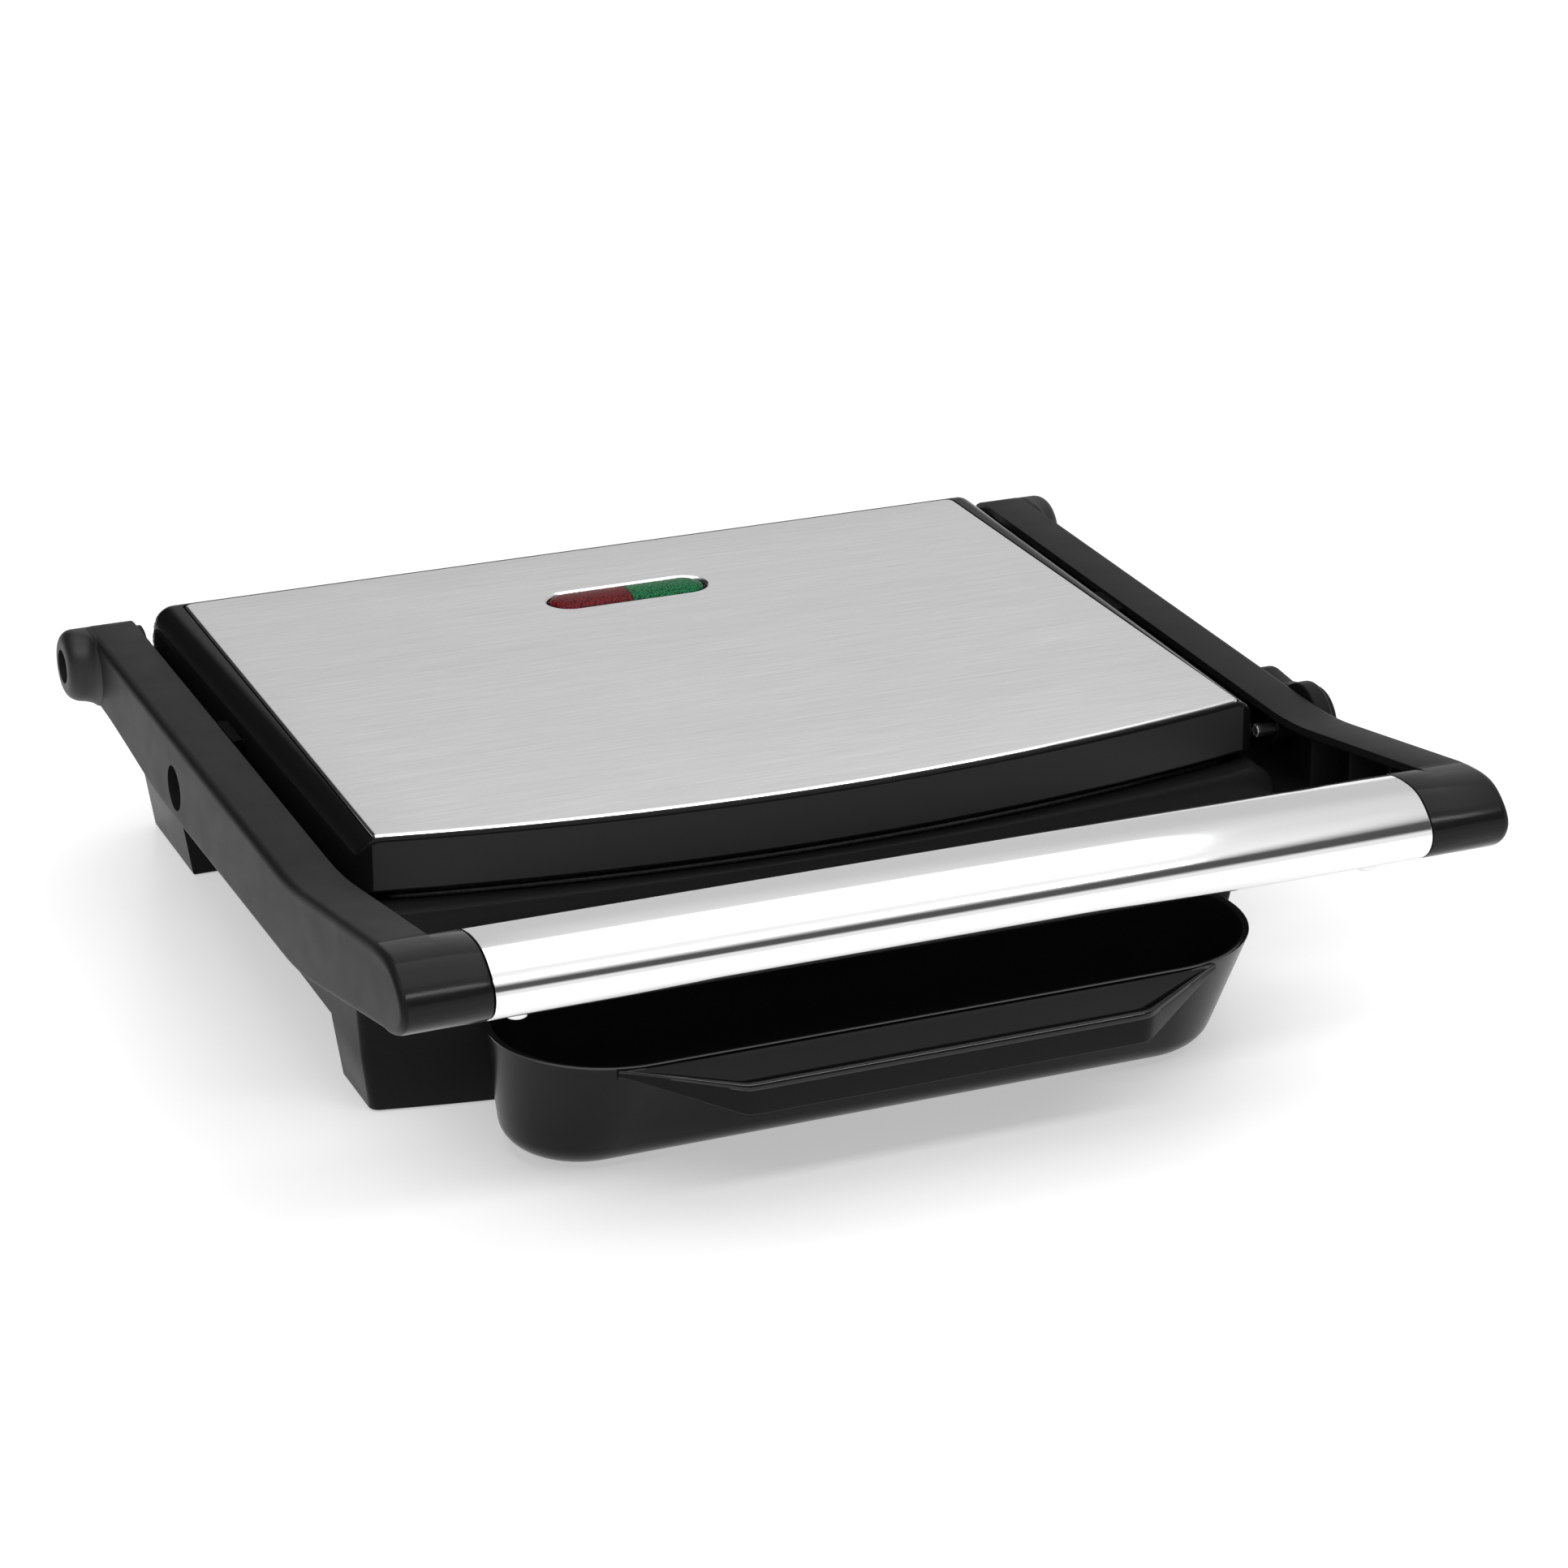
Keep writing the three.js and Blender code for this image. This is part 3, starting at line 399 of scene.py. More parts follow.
def lathe(profile, centre, axis="X", sides=48):
    """Turns (radius, along) pairs round an axis through centre; its ends close on the axis."""
    rings = []
    for radius, along in profile:
        ring = []
        for i in range(sides):
            angle = 2 * math.pi * i / sides
            a = radius * math.cos(angle)
            b = radius * math.sin(angle)
            offset = {"X": (along, a, b), "Y": (b, along, a), "Z": (a, b, along)}[axis]
            ring.append(centre + Vector(offset))
        rings.append(ring)
    return loft(rings)


def quarter(steps):
    """Angles from 0 to a right angle, in equal steps."""
    return [math.pi / 2 * i / steps for i in range(steps + 1)]


def rod(radius, low, high, centre, axis="X", sides=48, soft=0.0):
    """A round rod along an axis, its ends softened by a small radius."""
    rise = [(radius, low)]
    if soft:
        rise = [
            (radius - soft + soft * math.sin(t), low + soft * (1 - math.cos(t))) for t in quarter(5)
        ]
    fall = [(r, high - (along - low)) for r, along in reversed(rise)]
    return lathe(rise + fall, centre, axis, sides)


def round_in(radius, distance):
    """How far a quarter-round edge stands in, at a distance from its end face."""
    if distance >= radius:
        return 0.0
    return radius - math.sqrt(radius * radius - (radius - distance) ** 2)


def arc(centre, radii, start, end, steps):
    """Points on an ellipse, angles in degrees."""
    points = []
    for i in range(steps + 1):
        angle = math.radians(start + (end - start) * i / steps)
        u = centre[0] + radii[0] * math.cos(angle)
        v = centre[1] + radii[1] * math.sin(angle)
        points.append((u, v))
    return points


def bowed_plan(
    side, front, rear, front_radius=3 * MM, rear_radius=8 * MM, taper=0.0, curve=FRONT_CURVE
):
    """Plan of the housings: straight sides and rear, a front edge bowed forward."""
    corner_steps = 8
    inner = side - front_radius
    bend = math.atan(2 * curve * inner)
    start = inner + front_radius * math.sin(bend)
    corner = front + curve * start * start + front_radius * math.cos(bend)
    bend_degrees = math.degrees(bend)
    points = arc((side - rear_radius, rear - rear_radius), (rear_radius,) * 2, 0, 90, corner_steps)
    points += arc((rear_radius - side, rear - rear_radius), (rear_radius,) * 2, 90, 180, corner_steps)
    points += arc((-inner, corner), (front_radius,) * 2, 180, 270 - bend_degrees, corner_steps)
    steps = 40
    for i in range(1, steps):
        x = start * (2 * i / steps - 1)
        points.append((x, front + curve * x * x))
    points += arc((inner, corner), (front_radius,) * 2, 270 + bend_degrees, 360, corner_steps)
    return [(x * (1 - taper * y), y) for x, y in points]


def pill(centre, radius, half, steps=24):
    points = arc((half - radius, centre), (radius, radius), -90, 90, steps)
    return points + arc((radius - half, centre), (radius, radius), 90, 270, steps)


def smooth_outline(corners, steps=6):
    """A closed outline of (u, v, reach) corners, each rounded over its reach on both sides."""
    points = []
    count = len(corners)
    for i, (u, v, reach) in enumerate(corners):
        if reach <= 0:
            points.append((u, v))
            continue
        here = Vector((u, v))
        before = Vector(corners[i - 1][:2]) - here
        after = Vector(corners[(i + 1) % count][:2]) - here
        start = here + before.normalized() * min(reach, 0.49 * before.length)
        end = here + after.normalized() * min(reach, 0.49 * after.length)
        for k in range(steps + 1):
            t = k / steps
            points.append(tuple(start * (1 - t) ** 2 + here * 2 * t * (1 - t) + end * t * t))
    return points


def smooth_loop(knots, steps=6):
    """A closed smooth curve through its knots."""
    count = len(knots)
    points = []
    for i in range(count):
        a, b, c, d = (Vector(knots[(i + k) % count]) for k in (-1, 0, 1, 2))
        for k in range(steps):
            t = k / steps
            straight = b * 2 + (c - a) * t
            bent = (a * 2 - b * 5 + c * 4 - d) * t ** 2
            eased = (b * 3 - a - c * 3 + d) * t ** 3
            points.append(tuple((straight + bent + eased) / 2))
    return points


def distinct(outline):
    """The outline without points that repeat the one before."""
    return [p for i, p in enumerate(outline) if math.dist(p, outline[i - 1]) > 0.02 * MM]


def shrunk(outline, distance):
    """The outline with every side of its box moved in by a distance."""
    us = [p[0] for p in outline]
    vs = [p[1] for p in outline]
    mid_u = (min(us) + max(us)) / 2
    mid_v = (min(vs) + max(vs)) / 2
    share_u = 1 - 2 * distance / (max(us) - min(us))
    share_v = 1 - 2 * distance / (max(vs) - min(vs))
    return [(mid_u + (u - mid_u) * share_u, mid_v + (v - mid_v) * share_v) for u, v in outline]


def inset(outline, distance):
    """The outline moved in along its normals; it turns counter-clockwise."""
    count = len(outline)
    moved = []
    for i in range(count):
        here = Vector(outline[i])
        before = (here - Vector(outline[i - 1])).normalized()
        after = (Vector(outline[(i + 1) % count]) - here).normalized()
        along = before + after
        if along.length < 1e-6:
            moved.append(outline[i])
            continue
        along.normalize()
        reach = distance / max(0.5, along.dot(after))
        moved.append((here.x - along.y * reach, here.y + along.x * reach))
    return moved


def signed_area(outline):
    return sum(a[0] * b[1] - b[0] * a[1] for a, b in zip(outline, outline[1:] + outline[:1])) / 2


def upright_way(outline):
    """The outline turned so that it runs counter-clockwise."""
    outline = distinct(outline)
    return outline if signed_area(outline) > 0 else list(reversed(outline))


def axis_point(joint_place):
    return Vector((0, joint_place.y, joint_place.z))


# ---------- lid ----------
LID_SIDE = LID_HIGH.x / (1 + LID_FLARE * LID_FLARE_REACH)
LID_FRONT = LID_LOW.y
LID_REAR = LID_HIGH.y
LID_TOP = LID_HIGH.z
LID_BOTTOM = LID_LOW.z


def lid_profile():
    """Front view of the lid: the upper and the lower line, both from left to right."""
    wide, high, low = 8.8 * MM, 14 * MM, 3 * MM
    upper_half = arc((LID_SIDE - wide, LID_TOP - high), (wide, high), 90, 0, 14)
    lower_half = arc((LID_SIDE - low, LID_BOTTOM + low), (low, low), -90, 0, 14)

    def line(half, z):
        steps = 30
        inner = half[0][0]
        flat = [(inner * (2 * i / steps - 1), z) for i in range(1, steps)]
        return [(-x, v) for x, v in reversed(half)] + flat + half

    return line(upper_half, LID_TOP), line(lower_half, LID_BOTTOM)


def lid_ring(upper, lower, place, x_in, top_in, bottom_in):
    """The lid's front view drawn in by its edge radii, at the y that place(x) gives."""
    mid = (LID_TOP + LID_BOTTOM) / 2
    half = (LID_TOP - LID_BOTTOM) / 2
    ring = []
    for x, z in upper + list(reversed(lower)):
        x_moved = math.copysign(min(abs(x), LID_SIDE - x_in), x)
        z_in = top_in if z > mid else bottom_in
        z_moved = mid + (z - mid) * (1 - z_in / half)
        y = place(x_moved)
        ring.append(Vector((x_moved * (1 + LID_FLARE * (y - LID_FLARE_START)), y, z_moved)))
    return ring


def lid_body():
    """The lid's solid: its front view swept from the rear to the bowed front panel."""
    upper, lower = lid_profile()
    rings = []
    rear_corner, rear_top, rear_bottom = 8 * MM, 3.4 * MM, 2 * MM
    for d in (0, 0.15, 0.5, 1.1, 2, 3.2, 5, 8):
        d *= MM
        rings.append(
            lid_ring(
                upper, lower, lambda x, y=LID_REAR - d: y,
                round_in(rear_corner, d), round_in(rear_top, d), round_in(rear_bottom, d),
            )
        )
    edge, corner = 1.1 * MM, 7 * MM
    for d in (7, 5, 3.4, 2.2, 1.4, 0.9, 0.5, 0.2, 0.05, 0):
        d *= MM
        inward = round_in(edge, d)
        rings.append(
            lid_ring(
                upper, lower, lambda x, d=d: LID_FRONT + FRONT_CURVE * x * x + d,
                round_in(corner, d), inward, inward,
            )
        )
    made = loft(rings, cap_last=False)
    made.verts.ensure_lookup_table()
    count = len(upper)
    first = len(made.verts) - 2 * count
    top = [made.verts[first + i] for i in range(count)]
    bottom = [made.verts[first + 2 * count - 1 - i] for i in range(count)]
    for i in range(count - 1):
        made.faces.new((top[i], bottom[i], bottom[i + 1], top[i + 1]))
    bmesh.ops.recalc_face_normals(made, faces=made.faces)
    return made


def plate_plan(grow):
    """Plan of the steel cover, grown by a distance all round."""
    side = PLATE_HIGH.x / (1 + PLATE_TAPER * PLATE_TAPER_REACH)
    return bowed_plan(
        side + grow, PLATE_LOW.y - grow, PLATE_HIGH.y + grow, 2 * MM, 2.5 * MM, taper=PLATE_TAPER
    )


LENS_GAP = 1.6 * MM  # between the lenses and the window's edge
WINDOW_Y = (RED_LOW.y + RED_HIGH.y) / 2
WINDOW_RADIUS = (RED_HIGH.y - RED_LOW.y) / 2 + LENS_GAP
WINDOW_HALF = GREEN_HIGH.x + LENS_GAP
WINDOW_EDGE = 0.9 * MM  # how far below the cover's top its window starts to round


def window(grow):
    return pill(WINDOW_Y, WINDOW_RADIUS + grow, WINDOW_HALF + grow)


def build_lid_shell():
    roof = LID_TOP - 2.6 * MM
    waist = LID_SIDE * (1 - LID_FLARE * LID_FLARE_START)
    front, rear = LID_FRONT + 3 * MM, LID_REAR - 3 * MM
    side_wall, shoulder_wall = 4 * MM, 6.8 * MM
    walls = [
        (LID_BOTTOM - OVER, side_wall), (LID_TOP - 7 * MM, side_wall), (roof, shoulder_wall),
    ]
    hollow = loft_z(
        [(z, bowed_plan(waist - wall, front, rear, taper=-LID_FLARE)) for z, wall in walls]
    )
    seat = loft_z([(z, plate_plan(0.5 * MM)) for z in (LID_TOP - 1.2 * MM, LID_TOP + OVER)])
    opening = loft_z([(z, window(0)) for z in (roof - OVER, LID_TOP + OVER)])
    made = cut(lid_body(), hollow, seat, opening)
    shown = piece("lid_cover", made, GLOSS_BLACK, "lid", "gloss_black", "lid_shell", sharp=40)
    # The flat front faces take the lighter black: painted light from the front on the lid's panel.
    shown.data.materials.append(FRONT_LIT_PANEL_BLACK)
    for face in shown.data.polygons:
        panel_y = LID_FRONT + FRONT_CURVE * face.center.x ** 2
        upright = abs(face.normal.z) < 0.02 and face.normal.y < -0.95
        if upright and abs(face.center.y - panel_y) < 0.5 * MM:
            face.material_index = 1


def build_top_plate():
    top = PLATE_HIGH.z
    edge = 1.2 * MM
    sections = [(LID_TOP - 1.4 * MM, plate_plan(0))]
    for d in (1.2, 0.8, 0.45, 0.2, 0.06, 0):
        sections.append((top - d * MM, plate_plan(-round_in(edge, d * MM))))
    rim = [
        (LID_TOP - OVER, -0.7), (top - WINDOW_EDGE, -0.7), (top - 0.45 * MM, -0.45),
        (top + 0.02 * MM, 0.25), (top + OVER, 0.25),
    ]
    made = cut(loft_z(sections), loft_z([(z, window(grow * MM)) for z, grow in rim]))
    shown = piece(
        "steel_cover", made, BRUSHED_STEEL, "lid", "brushed_stainless", "top_plate", sharp=30
    )
    shown.data.materials.append(BRIGHT_STEEL)
    for face in shown.data.polygons:
        if face.normal.z < 0.985:
            face.material_index = 1


def build_lens(side, name, material, slot, cad_node):
    """Half of a pill-shaped dome, cut where the two colours meet."""
    foot = RED_LOW.z
    shoulder = PLATE_HIGH.z - WINDOW_EDGE
    rise = RED_HIGH.z - shoulder
    sections = [(foot, window(-LENS_GAP)), (shoulder, window(-LENS_GAP))]
    reach = 0.985 * (WINDOW_RADIUS - LENS_GAP)
    for angle in quarter(10)[1:]:
        inward = reach * (1 - math.cos(angle))
        sections.append((shoulder + rise * math.sin(angle), window(-LENS_GAP - inward)))
    made = loft_z(sections)
    seam = 0.12 * MM
    bmesh.ops.bisect_plane(
        made, geom=made.verts[:] + made.edges[:] + made.faces[:],
        plane_co=(side * seam, 0, 0), plane_no=(side, 0, 0), clear_inner=True,
    )
    bmesh.ops.holes_fill(made, edges=[e for e in made.edges if e.is_boundary], sides=0)
    piece(name, made, material, "lid", slot, cad_node, sharp=50)


# ---------- grill plates ----------
RIB_STEP = 11.6 * MM
RIB_COUNT = 23
RIB_END_SIZES = ((0, 0.25), (1.2 * MM, 0.8), (3 * MM, 1))  # how a rib grows from its end


def rib_outline(height, size):
    """Section of a rib with a rounded crest, on a foot wider than the crest."""
    foot, crest_wide, crest_high = 3.2 * MM, 1.9 * MM, 1.6 * MM * size
    crest = arc((0, height * size - crest_high), (crest_wide, crest_high), 10, 170, 8)
    return [(foot, 0)] + crest + [(-foot, 0)]


def rib_bars(front, rear, root, crest):
    """Parallel ribs with rounded crests, from z = root to z = crest."""
    up = 1 if crest > root else -1
    height = abs(crest - root)
    stations = [(front + inward, size) for inward, size in RIB_END_SIZES]
    stations += [(rear - inward, size) for inward, size in reversed(RIB_END_SIZES)]
    bars = []
    for k in range(RIB_COUNT):
        x = RIB_STEP * (k - (RIB_COUNT - 1) / 2)
        bars.append(
            loft([
                [Vector((x + u, y, root + up * v)) for u, v in rib_outline(height, size)]
                for y, size in stations
            ])
        )
    return bars


def plate_body(side, front, rear, levels):
    """A bowed pan; levels are (z, how far the outline grows in millimetres)."""
    return loft_z([
        (z, bowed_plan(side + g * MM, front - g * MM, rear + g * MM, rear_radius=6 * MM))
        for z, g in levels
    ])


def build_lower_plate():
    low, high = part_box("lower_grill_plate")
    side, front, rear, top = high.x, low.y, high.y, high.z
    floor = top - 7 * MM
    outer = ((10, -5), (7.4, -0.8), (0.8, -0.2), (0.25, -0.4), (0, -1))
    inner = ((0.05, -2.4), (0.6, -3.2), (5, -4.6), (7, -6.4))
    body = plate_body(side, front, rear, [(top - down * MM, g) for down, g in outer + inner])
    ribs = rib_bars(front + 31 * MM, rear - 12 * MM, floor - 0.4 * MM, top - 1.4 * MM)
    bore, lip, root, length = 3.6 * MM, 5 * MM, 5.4 * MM, 19 * MM
    spout_profile = [(bore, 0), (lip, 0), (root, length), (bore, length)]
    spout = lathe(spout_profile, Vector((0, front + 6.3 * MM, low.z)), "Z")
    made = join(body, spout, *ribs)
    piece("lower_ribbed_plate", made, NON_STICK, "base", "non_stick", "lower_grill_plate")


def build_upper_plate():
    low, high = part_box("upper_grill_plate")
    side, front, rear, bottom = high.x, low.y, high.y, low.z
    floor = bottom + 4 * MM
    outer = ((0.9, 0), (0.4, -0.4), (0.2, -1.2))
    inner = ((0.4, -2.8), (2, -4.2), (4, -6))
    levels = [(high.z, 0)] + [(bottom + up * MM, g) for up, g in outer + inner]
    body = plate_body(side, front, rear, levels)
    ribs = rib_bars(front + 19 * MM, rear - 12 * MM, floor + 0.4 * MM, bottom)
    made = join(body, *ribs)
    piece("upper_ribbed_plate", made, NON_STICK, "lid", "non_stick", "upper_grill_plate")


# ---------- base ----------
HOUSING_SIDE = BASE_HIGH.x + 0.8 * MM
FOOT = BASE_LOW.z
FEET_TOP = 22 * MM
HIGH_BOW = 0.5  # the front's bow above the feet, where it is flatter than FRONT_CURVE
CORNER_FLARE = 0.34  # the housing widens by this share per metre towards its front corners
BOW_START, BOW_REACH = 42 * MM, 16 * MM  # the height where that begins, and how soon it is full


def housing_plan(z, side_in, front_in, rear_in):
    """The plan at a height; above the feet it bows less and flares towards its front corners."""
    share = min(1, max(0, (z - BOW_START) / BOW_REACH))
    bow = FRONT_CURVE + (HIGH_BOW - FRONT_CURVE) * share
    side = HOUSING_SIDE - side_in * MM
    front = BASE_LOW.y + front_in * MM
    rear = LID_REAR - rear_in * MM
    plan = bowed_plan(side, front, rear, 3.2 * MM, curve=bow)
    return [(x * (1 + CORNER_FLARE * share * max(0, -y)), y) for x, y in plan]


def housing_mesh():
    """The housing under the lid; each level says how far the side, front and rear stand in."""
    levels = [
        (FOOT, 6.6, 13.4, 0.6), (FOOT + 0.5 * MM, 6.2, 12.9, 0.2), (20 * MM, 3.4, 9.2, 0),
        (40 * MM, 1.2, 4.9, 0), (62 * MM, 0, 0, 0), (66 * MM, 0, 0, 0), (68 * MM, 0.5, 0.05, 0),
        (69.6 * MM, 1.3, 0.2, 0.3), (71 * MM, 2.5, 0.5, 0.8), (72 * MM, 3.7, 0.9, 1.4),
        (72.8 * MM, 5, 1.5, 2.2), (BASE_HIGH.z, 6.6, 2.6, 3.4),
    ]
    return loft_z([(z, housing_plan(z, *inward)) for z, *inward in levels])


def deck_mesh():
    """The lower deck behind the lid; each level says how far the side and the rear stand in."""
    levels = [
        (FOOT, 6.6, 0.8), (FOOT + 0.5 * MM, 6.2, 0.3), (20 * MM, 3.4, 0), (40 * MM, 1.2, 0),
        (51.5 * MM, 0.6, 0), (52.8 * MM, 0.9, 0.3), (53.6 * MM, 1.7, 0.9), (54 * MM, 2.8, 2),
    ]
    front = 80 * MM
    return loft_z([
        (z, bowed_plan(
            HOUSING_SIDE - s * MM, front, BASE_HIGH.y - r * MM, 3 * MM, 3.4 * MM, curve=0.0
        ))
        for z, s, r in levels
    ])


def build_base():
    front_inner, rear_inner = 101 * MM, 109 * MM
    front_feet_rear = AHEAD - 62 * MM
    rear_feet_front = AHEAD + 106 * MM
    bay_rear, bay_top = AHEAD - 98 * MM, 48 * MM
    below = (-OVER, FEET_TOP)
    under = [
        box((-FAR, FAR), (front_feet_rear, rear_feet_front), below),
        box((-front_inner, front_inner), (-FAR, 0), below),
        box((-rear_inner, rear_inner), (0, FAR), below),
        box((-front_inner, front_inner), (-FAR, bay_rear), (-OVER, bay_top)),
    ]
    low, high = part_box("lower_grill_plate")
    gap = 0.6 * MM
    seat = bowed_plan(high.x + gap, low.y - gap, high.y + gap, rear_radius=6 * MM)
    seat_floor, above = 62 * MM, 0.1
    opening = loft_z([(seat_floor, seat), (above, seat)])
    vents = [
        box(
            (x - 2 * MM, x + 2 * MM), (AHEAD + 20 * MM, AHEAD + 80 * MM),
            (FEET_TOP - OVER, FEET_TOP + 4 * MM),
        )
        for x in (-60 * MM, -30 * MM, 0, 30 * MM, 60 * MM)
    ]
    made = cut(add(housing_mesh(), deck_mesh()), *under, opening, *vents)
    # The housing wears the lighter black, which is painted light on its front band.
    piece(
        "base_housing", made, FRONT_LIT_BASE_BLACK, "base", "gloss_black", "base_shell",
        sharp=40, bevel=0.7 * MM,
    )


# ---------- drip tray ----------
TRAY_RIM = TRAY_HIGH.z
TRAY_HALF = TRAY_HIGH.x
TRAY_RADIUS = 37 * MM
TRAY_CENTRE = TRAY_HIGH.y - TRAY_RADIUS
TRAY_WALL = 2.2 * MM
TRAY_SOFT = 9 * MM  # radius of the edge under the tray
LIP_TIP, LIP_CORNER = 95.5 * MM, 63.5 * MM  # where the grip lip starts and is fully out


def tray_plan(height, grow):
    """The pill at a height: narrower, shorter and further back towards the bottom."""
    down = 1 - min(1, max(0, height / TRAY_RIM))
    centre = TRAY_CENTRE + 12 * MM * down
    radius = TRAY_RADIUS - 13.6 * MM * down + grow
    return pill(centre, radius, TRAY_HALF - 8 * MM * down + grow, 32)


def lip_section(share):
    """Side view of the grip lip: a hollow shelf, a rounded rail and a low front face."""
    root = TRAY_CENTRE - TRAY_RADIUS
    nose = root - 21 * MM * share
    top = TRAY_RIM - 0.35 * MM
    fall = 2.2 * MM * share
    rail = 0.5 * MM + 0.9 * MM * share
    wide = 0.5 * MM + 3.2 * MM * share
    face = 1.2 * MM + 7.4 * MM * share
    return smooth_outline([
        (root + 1.6 * MM, top, 0),
        (root - 0.2 * MM - 1.5 * MM * share, top - 0.9 * MM * share, 1 * MM),
        (nose + wide * 1.6, top - fall - 0.9 * MM * share, 2 * MM),
        (nose + wide * 0.75, top - fall + rail, 0.9 * MM),
        (nose + wide * 0.2, top - fall + rail, 0.9 * MM),
        (nose, top - fall - 0.6 * MM, 0.8 * MM),
        (nose + 0.7 * MM * share, top - fall - face, 0.4 * MM),
        (nose + 2.4 * MM * share + 0.3 * MM, top - fall - face, 0.4 * MM),
        (root + 1.6 * MM, top - 3 * MM - 5 * MM * share, 0),
    ], 4)


def tray_shell():
    """The bowl: up the outside from its soft lower edge, over the rim and down the inside."""
    bottom = TRAY_LOW.z
    outer = [
        (bottom + TRAY_SOFT * (1 - math.cos(angle)), -TRAY_SOFT * (1 - math.sin(angle)))
        for angle in quarter(8)
    ]
    outer += [(height * MM, 0) for height in (16, 24, 32, 40, 43.6)]
    first, second = 0.15 * MM, 0.5 * MM
    rim = [(TRAY_RIM - second, 0), (TRAY_RIM - first, -first), (TRAY_RIM, -second)]
    rim += [(z, -TRAY_WALL - grow) for z, grow in reversed(rim)]
    inner = []
    for height, grow in reversed(outer):
        if height < TRAY_RIM - 1 * MM:
            lift = TRAY_WALL if height < 16 * MM else 0
            inner.append((height + lift, grow - TRAY_WALL))
    return loft_z([(z, tray_plan(z, grow)) for z, grow in outer + rim + inner])


def tray_lip():
    """The grip lip, from nothing at its tips to full size between its corners."""
    half = [(LIP_TIP, 0.02)]
    half += [
        (LIP_TIP + (LIP_CORNER - LIP_TIP) * t, t) for t in (0.12, 0.25, 0.4, 0.55, 0.7, 0.85, 0.94)
    ]
    half += [(LIP_CORNER, 0.985), (LIP_CORNER - 1.8 * MM, 0.997), (LIP_CORNER - 4 * MM, 1)]
    stations = [(-x, share) for x, share in half] + list(reversed(half))
    return loft_x([(x, lip_section(share)) for x, share in stations])


def build_tray():
    made = join(tray_shell(), tray_lip())
    shown = piece("tray_bowl", made, TRAY_BLACK, "tray", "tray_black", "drip_tray", sharp=40)
    shown.data.materials.append(EDGE_BLACK)
    lip_root = TRAY_CENTRE - TRAY_RADIUS - 2 * MM
    for face in shown.data.polygons:
        on_rim = face.center.z > TRAY_RIM - 0.55 * MM
        on_lip = face.center.y < lip_root
        if on_rim or (on_lip and face.normal.z > 0.15 and face.normal.y < -0.25):
            face.material_index = 1


# ---------- handle frame ----------
ARM_OUTER = SLEEVE_HIGH.x + 26.6 * MM
ARM_INNER = ARM_OUTER - 16.4 * MM
BARREL_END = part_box("arm_right")[1].x
GRIP_STEPS = 8


def drawn(*pairs):
    """Points of a side view, given in millimetres on the drawing."""
    return [(AHEAD + y * MM, z * MM) for y, z in pairs]


def grip_section(steps=6):
    """The grip's section: a round nose, then the bottom, a flat rear and a crowned top."""
    nose = drawn((-214.4, 98.2), (-217.4, 92.8), (-215.4, 87.2), (-209.6, 83))
    bottom = drawn((-201, 80.1), (-191.4, 80.8), (-186.2, 85))
    rear = drawn((-184.8, 91.5), (-185, 97.8), (-188, 101.7))
    top = drawn((-197, 103.6), (-207, 102.9))
    return smooth_loop(nose + bottom + rear + top, steps)


def arm_side_view():
    """Side view of an arm: under edge, round hinge eye, level top, bend and rise to the grip."""
    def corner(y, z, reach):
        return (AHEAD + y * MM, z * MM, reach * MM)

    under = [corner(-115, 61.4, 15), corner(36, 59.2, 20), corner(92, 64.4, 20)]
    eye = [(u, v, 0) for u, v in arc((HINGE.y, HINGE.z), (12 * MM, 12 * MM), -90, 90, 24)]
    over = [corner(-110, 88.3, 14), corner(-192, 103.2, 4)]
    loop = grip_section(GRIP_STEPS)
    over_nose, under_nose = 10 * GRIP_STEPS + 2, 4 * GRIP_STEPS + 3
    nose = [(u, v, 0) for u, v in loop[over_nose:] + loop[:under_nose]]
    return smooth_outline(under + eye + over + nose, 8)


def soft_bar(outline, inner, outer, softness):
    """A bar along X whose outer rim is rounded and whose inner rim is crisp."""
    crisp = 0.25 * MM
    sections = [(inner, shrunk(outline, crisp)), (inner + crisp, outline)]
    for angle in quarter(8):
        x = outer - softness * (1 - math.sin(angle))
        sections.append((x, inset(outline, softness * (1 - math.cos(angle)))))
    return loft_x(sections)


def arm_webs():
    """Thin walls that stiffen the hollow arm."""
    webs = []
    for place in (-172, -148, -124, -64, -36, 44, 76):
        y = AHEAD + place * MM
        rise = max(0.0, -110 - place) * 0.19 * MM
        webs.append(box(
            (ARM_INNER + 0.8 * MM, ARM_OUTER - 3 * MM), (y - 0.8 * MM, y + 0.8 * MM),
            (HINGE.z - 15 * MM + rise, HINGE.z + 10 * MM + rise),
        ))
    return webs


